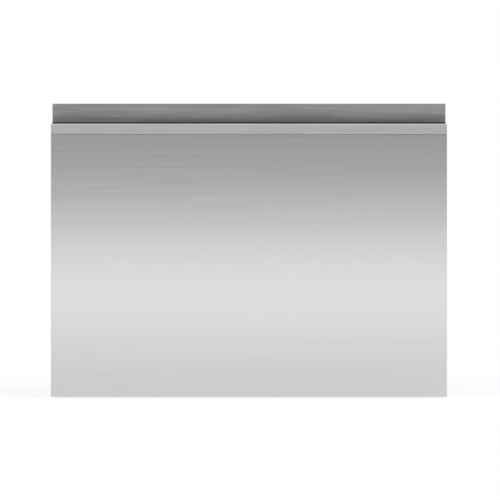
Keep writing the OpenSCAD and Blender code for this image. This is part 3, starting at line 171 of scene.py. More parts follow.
def makeZincGroup(effect):
    tree, given, result = newGroup(
        "zincSpangle", "ShaderNodeTree", [("Vector", "Vector"), ("Scale", "Float", 120)],
        [("Flake", "Float"), ("Edge", "Float"), ("Cloud", "Float")])
    warp = newNode(tree, "ShaderNodeTexNoise", {"Vector": given["Vector"], "Scale": effect["warpScale"]})
    bend = newNode(tree, "ShaderNodeVectorMath", operation="SCALE")
    feed(tree, bend.inputs[0], warp.outputs["Color"])
    feed(tree, bend.inputs["Scale"], effect["warp"])
    moved = newNode(tree, "ShaderNodeVectorMath", {0: given["Vector"], 1: bend.outputs[0]}, operation="ADD")
    cellsAt = {"Vector": moved.outputs[0], "Scale": given["Scale"]}
    cells = newNode(tree, "ShaderNodeTexVoronoi", cellsAt, feature="F1")
    edges = newNode(tree, "ShaderNodeTexVoronoi", cellsAt, feature="DISTANCE_TO_EDGE").outputs["Distance"]
    feed(tree, result["Flake"], newNode(tree, "ShaderNodeSeparateColor", {0: cells.outputs["Color"]}).outputs[0])
    feed(tree, result["Edge"], mathNode(tree, "MULTIPLY", edges, effect["edgeGain"], clamp=True))
    feed(tree, result["Cloud"], noiseNode(tree, given["Vector"], effect["cloudScale"], 4, 0.6))
    return tree


brushGroup, mouldGroup = makeBrushGroup(brushEffect), makeMouldGroup(mouldEffect)
zincGroup = makeZincGroup(zincEffect)


def placeGroup(tree, group, stretch=(1, 1, 1), **inputs):
    mapped = newNode(tree, "ShaderNodeMapping", {"Vector": objectCoords(tree), "Scale": stretch}).outputs["Vector"]
    return newNode(tree, "ShaderNodeGroup", {"Vector": mapped, **inputs}, node_tree=group).outputs


def newMaterial(name, fixed=None):
    material = bpy.data.materials.new(name)
    material.use_nodes = True
    shader = material.node_tree.nodes["Principled BSDF"]
    for label, value in (fixed or {}).items():
        shader.inputs[label].default_value = value
    return material, material.node_tree, shader


def surfaceInto(tree, shader, colour, roughness, height, strength, depth):
    bump = newNode(tree, "ShaderNodeBump", {"Height": height, "Strength": strength, "Distance": depth})
    for label, source in (("Base Color", colour), ("Roughness", roughness), ("Normal", bump.outputs["Normal"])):
        feed(tree, shader.inputs[label], source)


def toned(tree, mask, base, dark, light):
    shades = [tuple(min(1, part * factor) for part in base) for factor in (dark, light)]
    return mixColour(tree, mask, *shades)


def roughAround(tree, value, look, surface):
    less, more = surface["roughSpread"]
    return rangeNode(tree, value, look["roughness"] + less, look["roughness"] + more)


# paints shade into a colour: multiplies it darker below a height, by the piece's own z
def darkerBelow(tree, colour, low, high, amount):
    height = newNode(tree, "ShaderNodeSeparateXYZ", {0: objectCoords(tree)}).outputs["Z"]
    ends = {"Value": height, "From Min": low, "From Max": high, "To Min": amount, "To Max": 1}
    lift = newNode(tree, "ShaderNodeMapRange", ends, interpolation_type="SMOOTHSTEP")
    return mixColour(tree, 1, colour, lift.outputs["Result"], blend_type="MULTIPLY")


steelSurface = {"grainTurn": 0.25, "toneShare": 0.6, "roughShare": 0.7, "roughSpread": (-0.06, 0.06),
                "depth": 0.00004}


def brushedSteel(name, look, surface=steelSurface):
    material, tree, shader = newMaterial(
        name, {"Metallic": 1, "Anisotropic": look["anisotropy"], "Anisotropic Rotation": surface["grainTurn"]})
    grain = placeGroup(tree, brushGroup, look["stretch"], Fineness=look["fineness"], Streakiness=look["streakiness"])
    tone = sharedOut(tree, grain["Grain"], grain["Streak"], surface["toneShare"])
    colour = toned(tree, tone, look["base"], 1 - look["contrast"], 1 + look["contrast"])
    # painted shade: a band of the colour made darker by height
    if "paintedShade" in look:  # darker below the first height, fading out up to the second
        colour = darkerBelow(tree, colour, *look["paintedShade"])
    rough = roughAround(tree, sharedOut(tree, grain["Grain"], grain["Cloud"], surface["roughShare"]), look, surface)
    surfaceInto(tree, shader, colour, rough, grain["Grain"], look["bump"], surface["depth"])
    return material


zincSurface = {"metallic": 0.85, "toneShare": 0.6, "tones": (0.84, 1.1), "roughSpread": (-0.08, 0.12), "bump": 0.12,
               "depth": 0.00006}


def zincSheet(name, look, surface=zincSurface):
    material, tree, shader = newMaterial(name, {"Metallic": surface["metallic"]})
    zinc = placeGroup(tree, zincGroup, Scale=look["flake"])
    tone = sharedOut(tree, zinc["Flake"], zinc["Cloud"], surface["toneShare"])
    colour, rough = toned(tree, tone, look["base"], *surface["tones"]), roughAround(tree, tone, look, surface)
    surfaceInto(tree, shader, colour, rough, zinc["Edge"], surface["bump"], surface["depth"])
    return material


mouldedSurface = {"specular": 0.45, "coatRoughness": 0.15, "tones": (0.93, 1.06), "worn": 1.12, "wornShare": 0.35,
                  "roughShare": 0.6, "roughSpread": (-0.07, 0.1), "depth": 0.00005}


def moulded(name, look, surface=mouldedSurface):
    material, tree, shader = newMaterial(name, {
        "Specular IOR Level": look.get("specular", surface["specular"]), "Coat Roughness": surface["coatRoughness"],
        "Coat Weight": look.get("coat", 0)})
    skin = placeGroup(tree, mouldGroup, Scale=look["grain"])
    body = toned(tree, skin["Mottle"], look["base"], *surface["tones"])
    worn = tuple(min(1, part * surface["worn"]) for part in look["base"])
    colour = mixColour(tree, mathNode(tree, "MULTIPLY", skin["Scuff"], surface["wornShare"]), body, worn)
    rough = roughAround(tree, sharedOut(tree, skin["Mottle"], skin["Scuff"], surface["roughShare"]), look, surface)
    surfaceInto(tree, shader, colour, rough, skin["Height"], look["bump"], surface["depth"])
    return material


def windingCopper(name, look):
    material, tree, shader = newMaterial(name, {"Metallic": look["metallic"], "Coat Weight": look["coat"]})
    feeds = {"Vector": objectCoords(tree), "Scale": look["turns"], "Distortion": look["waver"], "Detail": 2}
    turns = newNode(tree, "ShaderNodeTexWave", feeds, wave_type="BANDS", bands_direction="Z").outputs["Fac"]
    surfaceInto(tree, shader, toned(tree, turns, look["base"], *look["tones"]),
                rangeNode(tree, turns, *look["roughness"]), turns, look["bump"], look["depth"])
    return material


def circuitBoard(name, look):
    material, tree, shader = newMaterial(name)
    lighter = tuple(part * look["lighter"] for part in look["base"])
    feeds = {"Vector": objectCoords(tree), "Color1": look["base"], "Color2": lighter, "Mortar": look["track"],
             "Scale": 90, "Mortar Size": 0.035, "Brick Width": 0.9, "Row Height": 0.22}
    tracks = newNode(tree, "ShaderNodeTexBrick", feeds, offset=0.37, squash=0.6).outputs
    surfaceInto(tree, shader, tracks["Color"], rangeNode(tree, tracks["Fac"], *look["roughness"]),
                tracks["Fac"], look["bump"], look["depth"])
    return material


def fibreFelt(name, look):
    material, tree, shader = newMaterial(name, {"Sheen Weight": look["sheen"], "Specular IOR Level": look["specular"]})
    coords = objectCoords(tree)
    fibre = noiseNode(tree, coords, look["fibreScale"], 8, 0.75, 3)
    lump = noiseNode(tree, coords, look["lumpScale"], 4, 0.6)
    mask = mathNode(tree, "MULTIPLY", mathNode(tree, "ADD", fibre, lump), 0.5)
    surfaceInto(tree, shader, toned(tree, mask, look["base"], *look["tones"]),
                rangeNode(tree, fibre, *look["roughness"]), fibre, look["bump"], look["depth"])
    return material


grainAlong = {"x": (0.012, 1, 1), "y": (1, 0.012, 1), "none": (1, 1, 1)}
steels = {
    # front_steel's paintedShade is painted shade along the panel's foot, near the floor
    "front_steel": {"base": (0.74, 0.74, 0.74), "roughness": 0.24, "anisotropy": 0.5, "contrast": 0.035, "bump": 0.25,
                    "stretch": grainAlong["x"], "fineness": 900, "streakiness": 0.3, "paintedShade": (0.0, 0.06, 0.945)},
    "rail_steel": {"base": (0.67, 0.67, 0.67), "roughness": 0.24, "anisotropy": 0.5, "contrast": 0.08, "bump": 0.3,
                   "stretch": (0.05, 1, 1), "fineness": 700, "streakiness": 0.7},
    # recess_steel holds painted shade of the handle recess: its dark base is partly this shade, and paintedShade
    # darkens the strip just above the lip, where the lip shades it
    "recess_steel": {"base": (0.42, 0.42, 0.42), "roughness": 0.45, "anisotropy": 0.4, "contrast": 0.2, "bump": 0.3,
                     "stretch": (0.06, 1, 1), "fineness": 700, "streakiness": 0.9, "paintedShade": (0.424, 0.436, 0.8)},
    "screw_steel": {"base": (0.66, 0.66, 0.64), "roughness": 0.28, "anisotropy": 0.1, "contrast": 0.08, "bump": 0.15,
                    "stretch": grainAlong["none"], "fineness": 700, "streakiness": 0.3},
    "slide_steel": {"base": (0.68, 0.69, 0.7), "roughness": 0.3, "anisotropy": 0.3, "contrast": 0.06, "bump": 0.2,
                    "stretch": grainAlong["y"], "fineness": 500, "streakiness": 0.5},
    "heater_steel": {"base": (0.6, 0.58, 0.55), "roughness": 0.24, "anisotropy": 0.2, "contrast": 0.08, "bump": 0.15,
                     "stretch": grainAlong["none"], "fineness": 500, "streakiness": 0.4},
    "shaft_steel": {"base": (0.7, 0.7, 0.69), "roughness": 0.16, "anisotropy": 0.2, "contrast": 0.04, "bump": 0.1,
                    "stretch": (1, 1, 0.05), "fineness": 900, "streakiness": 0.2},
    "motor_steel": {"base": (0.42, 0.42, 0.42), "roughness": 0.35, "anisotropy": 0.1, "contrast": 0.12, "bump": 0.3,
                    "stretch": (1, 1, 0.02), "fineness": 900, "streakiness": 0.8},
}
plastics = {
    "tub_plastic": {"base": (0.5, 0.51, 0.52), "roughness": 0.42, "grain": 1000, "bump": 0.12},
    "inner_plastic": {"base": (0.62, 0.63, 0.64), "roughness": 0.45, "grain": 1100, "bump": 0.15},
    "lid_plastic": {"base": (0.56, 0.57, 0.58), "roughness": 0.45, "grain": 1000, "bump": 0.15},
    "tray_plastic": {"base": (0.72, 0.72, 0.7), "roughness": 0.5, "grain": 900, "bump": 0.2},
    "dark_plastic": {"base": (0.045, 0.045, 0.048), "roughness": 0.5, "grain": 1300, "bump": 0.25},
    "white_plastic": {"base": (0.8, 0.8, 0.78), "roughness": 0.42, "grain": 1200, "bump": 0.12},
    "grip_plastic": {"base": (0.02, 0.02, 0.021), "roughness": 0.62, "grain": 1500, "bump": 0.3, "specular": 0.15},
    "fascia_plastic": {"base": (0.03, 0.031, 0.034), "roughness": 0.2, "grain": 2000, "bump": 0.03, "coat": 0.6},
    "button_plastic": {"base": (0.6, 0.61, 0.62), "roughness": 0.35, "grain": 1500, "bump": 0.1, "coat": 0.2},
    "link_plastic": {"base": (0.35, 0.36, 0.37), "roughness": 0.5, "grain": 1000, "bump": 0.2},
    "filter_plastic": {"base": (0.36, 0.37, 0.39), "roughness": 0.45, "grain": 1200, "bump": 0.15},
    "arm_plastic": {"base": (0.3, 0.31, 0.33), "roughness": 0.42, "grain": 1200, "bump": 0.15},
    "gear_plastic": {"base": (0.82, 0.8, 0.72), "roughness": 0.4, "grain": 1500, "bump": 0.1},
    "dispenser_plastic": {"base": (0.4, 0.41, 0.42), "roughness": 0.4, "grain": 1200, "bump": 0.12},
    "flap_plastic": {"base": (0.3, 0.31, 0.33), "roughness": 0.38, "grain": 1200, "bump": 0.12},
    "cap_plastic": {"base": (0.08, 0.22, 0.42), "roughness": 0.38, "grain": 1200, "bump": 0.12},
    "rack_coating": {"base": (0.42, 0.44, 0.46), "roughness": 0.35, "grain": 700, "bump": 0.2, "coat": 0.15},
    "tine_coating": {"base": (0.24, 0.33, 0.43), "roughness": 0.35, "grain": 700, "bump": 0.2, "coat": 0.15},
    "basket_plastic": {"base": (0.3, 0.34, 0.39), "roughness": 0.42, "grain": 1000, "bump": 0.2},
    "foot_plastic": {"base": (0.05, 0.05, 0.052), "roughness": 0.55, "grain": 1200, "bump": 0.25},
    "rubber_black": {"base": (0.022, 0.022, 0.023), "roughness": 0.68, "grain": 500, "bump": 0.35, "specular": 0.3},
    "rubber_grey": {"base": (0.2, 0.205, 0.21), "roughness": 0.66, "grain": 500, "bump": 0.35, "specular": 0.3},
    "hose_rubber": {"base": (0.09, 0.095, 0.1), "roughness": 0.6, "grain": 500, "bump": 0.3, "specular": 0.3},
}
singles = {
    "chassis_steel": (zincSheet, {"base": (0.5, 0.51, 0.525), "roughness": 0.4, "flake": 130}),
    "winding_copper": (windingCopper, {
        "base": (0.72, 0.34, 0.18), "metallic": 0.9, "coat": 0.4, "turns": 190, "waver": 2.5, "tones": (0.55, 1.1),
        "roughness": (0.5, 0.25), "bump": 0.5, "depth": 0.0004}),
    "board_plastic": (circuitBoard, {
        "base": (0.02, 0.13, 0.06), "lighter": 1.25, "track": (0.25, 0.4, 0.2), "roughness": (0.35, 0.2), "bump": 0.3,
        "depth": 0.0001}),
    "felt": (fibreFelt, {
        "base": (0.13, 0.13, 0.14), "sheen": 0.4, "specular": 0.1, "fibreScale": 420, "lumpScale": 60,
        "tones": (0.5, 1.5), "roughness": (0.85, 1), "bump": 0.7, "depth": 0.0006}),
}
finishes = {name: brushedSteel(name, look) for name, look in steels.items()}
finishes.update({name: moulded(name, look) for name, look in plastics.items()})
finishes.update({name: make(name, look) for name, (make, look) in singles.items()})
print("finishes made:", len(finishes))


@contextmanager
def editing(mesh):
    work = bmesh.new()
    work.from_mesh(mesh)
    yield work
    work.to_mesh(mesh)
    work.free()


def plainResult(scratch, source):
    # what the modifiers make of the scratch object, as a mesh of its own
    bpy.context.view_layer.update()
    made = bpy.data.meshes.new_from_object(scratch.evaluated_get(bpy.context.evaluated_depsgraph_get()))
    scratch.modifiers.clear()
    bpy.data.objects.remove(scratch)
    bpy.data.meshes.remove(source)
    return made


def withModifier(mesh, kind, **settings):
    scratch = newObject("scratch", mesh)
    step = scratch.modifiers.new(kind.lower(), kind)
    for key, value in settings.items():
        setattr(step, key, value)
    return plainResult(scratch, mesh)


finishLook = {"near": 1e-6, "weight": 80}


def evenNormals(mesh, crease, look=finishLook):
    # faces without area are merged away, and edges sharper than the crease angle stay sharp
    with editing(mesh) as work:
        bmesh.ops.remove_doubles(work, verts=work.verts, dist=look["near"])
        bmesh.ops.dissolve_degenerate(work, dist=look["near"], edges=work.edges)
    with editing(mesh) as work:  # opened again, so that the faces' angles are fresh
        for face in work.faces:
            face.smooth = True
        for edge in work.edges:
            edge.smooth = len(edge.link_faces) == 2 and edge.calc_face_angle(0) < math.radians(crease)
    return withModifier(mesh, "WEIGHTED_NORMAL", keep_sharp=True, weight=look["weight"])


def linkPiece(name, mesh, body, slot, crease, replaced=()):
    mesh = evenNormals(mesh, crease)
    piece = newObject(name, mesh)
    mesh.materials.clear()
    mesh.materials.append(finishes[slot])
    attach(piece, body)
    if replaced:
        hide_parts(*replaced)


replacedNodes = set()


def dressed(name, mesh, node, crease, slot=None):
    replacedNodes.add(node)
    linkPiece(name, mesh, bodyOf[node], slot or slotOf[node], crease, [node])


mm = 0.001  # the sizes of pieces are in mm, and their meshes in metres


def inMetres(*values):
    return tuple(value * mm for value in values)


def meshOf(work, name, recalc=True):
    if recalc:
        bmesh.ops.recalc_face_normals(work, faces=work.faces)
    mesh = bpy.data.meshes.new(name)
    work.to_mesh(mesh)
    work.free()
    return mesh


def joined(name, *meshes):
    work = bmesh.new()
    for mesh in meshes:
        work.from_mesh(mesh)
        bpy.data.meshes.remove(mesh)
    return meshOf(work, name, recalc=False)


def addLoft(work, rings, capped=True):
    loops = [[work.verts.new(point) for point in ring] for ring in rings]
    count = len(loops[0])
    for lower, upper in zip(loops, loops[1:]):
        for i in range(count):
            j = (i + 1) % count
            work.faces.new((lower[i], lower[j], upper[j], upper[i]))
    if capped:
        work.faces.new(loops[0][::-1])
        work.faces.new(loops[-1])


def addLathe(work, profile, centre, sides, axis="z", hollow=False):
    # the profile is (radius, distance along the axis); a hollow one closes on itself
    rings = []
    for radius, level in list(profile) + (list(profile[:1]) if hollow else []):
        ring = []
        for k in range(sides):
            a = 2 * math.pi * k / sides
            u, v = radius * math.cos(a), radius * math.sin(a)
            spot = {"z": (u, v, level), "y": (u, level, v), "x": (level, u, v)}[axis]
            ring.append(Vector(inMetres(*(c + s for c, s in zip(centre, spot)))))
        rings.append(ring)
    addLoft(work, rings, not hollow)


def addBox(work, low, high, edge=0):
    made = bmesh.ops.create_cube(work, size=1)["verts"]
    for vert in made:
        vert.co = Vector([(a + b) / 2 * mm + c * (b - a) * mm for a, b, c in zip(low, high, vert.co)])
    if edge:
        edges = list(dict.fromkeys(e for vert in made for e in vert.link_edges))
        bmesh.ops.bevel(work, geom=edges, offset=edge * mm, segments=2, profile=0.6, affect="EDGES", clamp_overlap=True)


def boxBetween(work, x, y, z, edge=0):
    # the two x may come in either order, as they do on a mirrored side
    addBox(work, *zip(sorted(x), y, z), edge)


def circlePoint(radius, degrees, middle=(0, 0)):
    a = math.radians(degrees)
    return middle[0] + radius * math.cos(a), middle[1] + radius * math.sin(a)


def filletPoints(centre, radius, start, end, steps):
    return [circlePoint(radius, start + (end - start) * i / steps, centre) for i in range(steps + 1)]


def roundedOutline(x, y, radius, perCorner, perSide=1):
    # counter-clockwise from the middle of the right side; perSide splits each straight side
    corners = [((x[1] - radius, y[1] - radius), 0), ((x[0] + radius, y[1] - radius), 90),
               ((x[0] + radius, y[0] + radius), 180), ((x[1] - radius, y[0] + radius), 270)]
    arcs = [filletPoints(centre, radius, start, start + 90, perCorner) for centre, start in corners]
    outline = []
    for arc, after in zip(arcs, arcs[1:] + arcs[:1]):
        outline += arc
        (u0, v0), (u1, v1) = arc[-1], after[0]
        outline += [(u0 + (u1 - u0) * f, v0 + (v1 - v0) * f) for f in (k / perSide for k in range(1, perSide))]
    return outline


def outlineRing(x, y, radius, z, perCorner, perSide=1):
    return [Vector(inMetres(u, v, z)) for u, v in roundedOutline(x, y, radius, perCorner, perSide)]


def cutAway(mesh, cutter):
    tool = newObject("cutter", cutter)
    made = withModifier(mesh, "BOOLEAN", operation="DIFFERENCE", solver="EXACT", object=tool)
    bpy.data.objects.remove(tool)
    bpy.data.meshes.remove(cutter)
    return made


# node trees for bent wire and for copies set out at points


def geometryGroup(name, inputs):
    return newGroup(name, "GeometryNodeTree", [("Geometry", "Geometry"), *inputs, ("Finish", "Material")],
                    [("Geometry", "Geometry")])


def endTree(tree, given, result, geometry):
    real = newNode(tree, "GeometryNodeRealizeInstances", {"Geometry": geometry}).outputs["Geometry"]
    painted = newNode(tree, "GeometryNodeSetMaterial", {"Geometry": real, "Material": given["Finish"]})
    feed(tree, result["Geometry"], painted.outputs["Geometry"])
    return tree


def namedValue(tree, name, kind="FLOAT"):
    return newNode(tree, "GeometryNodeInputNamedAttribute", {"Name": name}, data_type=kind).outputs["Attribute"]


def makeWireTree():
    tree, given, result = geometryGroup("bentWire", [
        ("Wire radius", "Float", 0.0016), ("Bend radius", "Float", 0.009), ("Bend steps", "Int", 4),
        ("Sides", "Int", 8)])
    path = newNode(tree, "GeometryNodeMeshToCurve", {"Mesh": given["Geometry"]}).outputs["Curve"]
    bent = newNode(tree, "GeometryNodeFilletCurve", {
        "Curve": path, "Limit Radius": True, "Radius": given["Bend radius"], "Count": given["Bend steps"]}, mode="POLY")
    profile = newNode(tree, "GeometryNodeCurvePrimitiveCircle", {
        "Resolution": given["Sides"], "Radius": given["Wire radius"]})
    sweep = newNode(tree, "GeometryNodeCurveToMesh", {
        "Curve": bent.outputs["Curve"], "Profile Curve": profile.outputs["Curve"], "Scale": namedValue(tree, "girth"),
        "Fill Caps": True})
    return endTree(tree, given, result, sweep.outputs["Mesh"])


def makeScatterTree():
    tree, given, result = geometryGroup("setOut", [("Item", "Object")])
    item = newNode(tree, "GeometryNodeObjectInfo", {"Object": given["Item"]}).outputs["Geometry"]
    facing = namedValue(tree, "facing", "FLOAT_VECTOR")
    turned = newNode(tree, "FunctionNodeAlignRotationToVector", {"Vector": facing}, axis="Z").outputs["Rotation"]
    spread = newNode(tree, "GeometryNodeInstanceOnPoints", {
        "Points": given["Geometry"], "Instance": item, "Rotation": turned})
    return endTree(tree, given, result, spread.outputs["Instances"])


wireTree, scatterTree = makeWireTree(), makeScatterTree()


def grown(name, mesh, tree, **settings):
    # runs a node tree on the mesh and gives back the plain result
    scratch = newObject("scratch", mesh)
    step = scratch.modifiers.new("grow", "NODES")
    step.node_group = tree
    for socket in tree.interface.items_tree:
        if socket.item_type == "SOCKET" and socket.in_out == "INPUT" and socket.name in settings:
            step[socket.identifier] = settings[socket.name]
    made = plainResult(scratch, mesh)
    made.name = name
    return made


tipShape = ((0, 0.25), (0.12, 0.6), (0.4, 0.86), (1, 1))  # how far in, and how thick, in radii


def straightWire(points, closed=False, girth=1, tip=0):
    # tip is the wire's radius where its ends are rounded
    points = [Vector(point) for point in points]
    girths = [girth] * len(points)
    if tip and not closed:
        ends = []
        for first, second in ((points[0], points[1]), (points[-1], points[-2])):
            lead = (second - first).normalized() * tip
            ends.append([(first + lead * far, thick * girth) for far, thick in tipShape])
        chain = ends[0] + list(zip(points[1:-1], girths[1:-1])) + ends[1][::-1]
        points, girths = [spot for spot, _ in chain], [thick for _, thick in chain]
    return {"points": points, "closed": closed, "girths": girths}


def wireLoop(x, y, z, girth=1):
    (x0, x1), (y0, y1) = x, y
    return straightWire([(x0, y0, z), (x1, y0, z), (x1, y1, z), (x0, y1, z)], True, girth)


def wireMesh(name, wires):
    verts, edges, girths = [], [], []
    for item in wires:
        start, count = len(verts), len(item["points"])
        verts += [point * mm for point in item["points"]]
        girths += item["girths"]
        edges += [(start + k, start + k + 1) for k in range(count - 1)]
        if item["closed"]:
            edges.append((start + count - 1, start))
    mesh = bpy.data.meshes.new(name)
    mesh.from_pydata(verts, edges, [])
    mesh.attributes.new("girth", "FLOAT", "POINT").data.foreach_set("value", girths)
    return mesh


def sweptWires(name, wires, look, slot, **changed):
    sizes = {"steps": 4, "sides": 8, **look, **changed}
    return grown(name, wireMesh(name, wires), wireTree, **{
        "Wire radius": sizes["radius"] * mm, "Bend radius": sizes["bend"] * mm, "Bend steps": sizes["steps"],
        "Sides": sizes["sides"], "Finish": finishes[slot]})


def setOut(name, item, spots, slot):
    # copies of one mesh at (place, facing) spots
    mesh = bpy.data.meshes.new(name)
    mesh.from_pydata([Vector(place) * mm for place, _ in spots], [], [])
    facing = mesh.attributes.new("facing", "FLOAT_VECTOR", "POINT")
    facing.data.foreach_set("vector", [c for _, way in spots for c in way])
    master = newObject("master", item)
    made = grown(name, mesh, scatterTree, Item=master, Finish=finishes[slot])
    bpy.data.objects.remove(master)
    bpy.data.meshes.remove(item)
    return made


# base rack of coated wire; a leg's rows are height, half width and corner
rackLook = {
    "half": 238.7, "y": (-156.2, 194.2), "floor": 143.0, "lower": 140.4, "upper": 143.4, "top": 289, "middle": 218,
    "ringHalf": 241.4, "ringY": (-158.9, 196.9), "topGirth": 1.25, "cornerBend": 24, "radius": 1.6, "bend": 10,
    "footBend": 7, "lengthwise": [-200 + 40 * k for k in range(11)],
    "crosswise": [-125.75 + 35.5535 * k for k in range(9)], "crease": 60, "fittingCrease": 40,
    "leg": ((105, 3.2, 1.5), (106, 4, 2), (138, 4, 2), (140, 4.3, 2), (147, 4.3, 2), (148, 3.4, 1.6)),
    "legX": 239, "legOut": 0.3, "rodClip": {"bore": 2.9, "outer": 4.6, "reach": 7.4, "width": 5},
    "cupClip": {"bore": 2.9, "outer": 4.4, "reach": 6.2, "width": 7},
}
foldRods = {"x": (-60, 100), "y": (-54.65, 52.014, 158.67), "height": 150.5, "cupX": 234.528, "cupHeight": 249}


def addClip(work, centre, foot, look):
    # a moulded clip round a rod along y, with a foot towards a wire
    side = Vector(foot)
    up = Vector((side.z, 0, -side.x))
    outline = filletPoints((0, 0), look["outer"], 180, 360, 12)
    outline += [(look["outer"], look["reach"]), (-look["outer"], look["reach"])]
    count = len(outline)
    hole = [circlePoint(look["bore"], 360 * (k + 0.5) / count + 180) for k in range(count)]
    rings = []
    for points, shift in ((hole, -0.5), (outline, -0.5), (outline, 0.5), (hole, 0.5), (hole, -0.5)):
        along = Vector((0, shift * look["width"], 0))
        rings.append([Vector(inMetres(*(Vector(centre) + up * u + side * v + along))) for u, v in points])
    addLoft(work, rings, False)


def makeBaseRack(look, rods):
    half, (y0, y1), top, tip = look["half"], look["y"], look["top"], look["radius"]
    wires = []
    for x in look["lengthwise"]:
        z = look["lower"]
        wires.append(straightWire([(x, y0, top), (x, y0, z), (x, y1, z), (x, y1, top)], tip=tip))
    for y in look["crosswise"]:
        z = look["upper"]
        wires.append(straightWire([(-half, y, top), (-half, y, z), (half, y, z), (half, y, top)], tip=tip))
    wide = (-look["ringHalf"], look["ringHalf"])
    rings = [wireLoop(wide, look["ringY"], top, look["topGirth"]), wireLoop(wide, look["ringY"], look["middle"])]
    foot = wireLoop((-half, half), look["y"], look["floor"])
    dressed("baseRackWires", joined(
        "baseRackWires", sweptWires("rackWires", wires, look, "rack_coating"),
        sweptWires("rackRings", rings, look, "rack_coating", bend=look["cornerBend"], steps=8, sides=10),
        sweptWires("rackFrame", [foot], look, "rack_coating", bend=look["footBend"])), "base_rack", look["crease"])

    work = bmesh.new()
    for sign in (-1, 1):
        for y in (y0 - look["legOut"], y1 + look["legOut"]):
            x = sign * look["legX"]
            addLoft(work, [outlineRing((x - out, x + out), (y - out, y + out), corner, z, 4)
                           for z, out, corner in look["leg"]])
    for x in rods["x"]:
        for y in rods["y"]:
            addClip(work, (x, y, rods["height"]), (0, 0, -1), look["rodClip"])
    for sign in (-1, 1):
        for y in rods["y"]:
            addClip(work, (sign * rods["cupX"], y, rods["cupHeight"]), (sign, 0, 0), look["cupClip"])
    dressed("baseRackFittings", meshOf(work, "baseRackFittings"), "base_rack", look["fittingCrease"], "basket_plastic")


makeBaseRack(rackLook, foldRods)

# folding tines and cup shelves
tineLook = {"x": {"Left": -60, "Right": 100}, "y": (-89.2, 193.2), "count": 8, "first": -72.423, "step": 35.5535,
            "height": 150.5, "reach": 88, "radius": 1.8, "bend": 3, "sides": 10, "rodGirth": 2.5 / 1.8, "rodTip": 1.4,
            "collar": ((2.6, -3.4), (3.1, -2.8), (3.1, 2.8), (2.6, 3.4)), "crease": 60}
cupLook = {"sign": {"Left": -1, "Right": 1}, "rod": (-58.6, 162.6), "span": (-49.65, 153.67), "out": 80, "radius": 1.5,
           "bend": 14, "sides": 10, "steps": 6, "rodGirth": 2.5 / 1.5, "rodTip": 1.4, "wireTip": 1.2, "crossGirth": 0.9,
           "crossSpan": (-50.65, 154.67), "crossAt": [k / 8 for k in (1, 2, 3, 5, 6, 7)], "middleDrop": 0.2,
           "crease": 60}


def makeTines(side, look):
    x, z = look["x"][side], look["height"]
    places = [look["first"] + k * look["step"] for k in range(look["count"])]
    wires = [straightWire([(x, y, z) for y in look["y"]], girth=look["rodGirth"], tip=look["rodTip"])]
    wires += [straightWire([(x, y, z), (x, y, z + look["reach"])], tip=look["radius"]) for y in places]
    collars = bmesh.new()
    for y in places:
        addLathe(collars, look["collar"], (x, y, z), 14, "y")
    name = "tineRow" + side
    mesh = joined(name, sweptWires(name, wires, look, "tine_coating"), meshOf(collars, "tineCollars"))
    dressed(name, mesh, "tine_row_" + side.lower(), look["crease"])


def makeCupShelf(side, look, rods):
    sign = look["sign"][side]
    x, z = sign * rods["cupX"], rods["cupHeight"]
    far = x - sign * (look["out"] - look["radius"])
    (y0, y1), (a, b) = look["span"], look["crossSpan"]
    middle, low = (x + far) / 2, z - look["middleDrop"]
    wires = [straightWire([(x, y, z) for y in look["rod"]], girth=look["rodGirth"], tip=look["rodTip"]),
             straightWire([(x, y0, z), (far, y0, z), (far, y1, z), (x, y1, z)]),
             straightWire([(middle, y0, low), (middle, y1, low)], tip=look["wireTip"])]
    for part in look["crossAt"]:
        y = a + (b - a) * part
        wires.append(straightWire([(x, y, z), (far, y, z)], girth=look["crossGirth"], tip=look["wireTip"]))
    mesh = sweptWires("cupShelf" + side, wires, look, "tine_coating")
    dressed("cupShelf" + side, mesh, "cup_rack_" + side.lower(), look["crease"])


for side in ("Left", "Right"):
    makeTines(side, tineLook)
for side in ("Left", "Right"):
    makeCupShelf(side, cupLook, foldRods)

# cutlery baskets with slotted walls
basketLook = {"x": (0.2, 173.028), "y": (-156.2, -100.2), "z": (145, 255), "corner": 9, "wall": 1.8, "pitch": 8.6,
              "rib": 0.36, "margin": 0.14, "levels": (0, 9, 44, 50, 89, 110), "slotRows": (1, 3), "rim": 1.5,
              "crease": 35,
              "grille": {"insetX": 2.7, "insetY": 1, "lift": 0.9, "pitch": 7.2, "bar": 3},
              "divider": {"half": 1, "insetY": 1, "z": (1, 105), "edge": 0.4}}


def slottedRound(outline, look):
    # walks the outline and marks the points after which a slot is open; corners stay whole
    marked = []
    for (u0, v0), (u1, v1) in zip(outline, outline[1:] + outline[:1]):
        marked.append((u0, v0, False))
        count = int(math.dist((u0, v0), (u1, v1)) // look["pitch"])
        if count < 3:
            continue
        for k in range(count):
            opening, closing = k + look["rib"] / 2 + look["margin"], k + 1 - look["rib"] / 2 - look["margin"]
            for f, opened in ((opening / count, True), (closing / count, False)):
                marked.append((u0 + (u1 - u0) * f, v0 + (v1 - v0) * f, opened))
    return marked


def addGrille(work, x, y, z, pitch, bar):
    # a flat floor of bars both ways, as one sheet with square holes
    def stations(low, high):
        count = max(2, round((high - low - bar) / pitch))
        step = (high - low - bar) / count
        return sorted([low + k * step for k in range(count + 1)] + [low + k * step + bar for k in range(count + 1)])
    xs, ys = stations(*x), stations(*y)
    grid = [[work.verts.new(inMetres(u, v, z)) for u in xs] for v in ys]
    for j in range(len(ys) - 1):
        for i in range(len(xs) - 1):
            if not (i % 2 and j % 2):
                work.faces.new((grid[j][i], grid[j][i + 1], grid[j + 1][i + 1], grid[j + 1][i]))


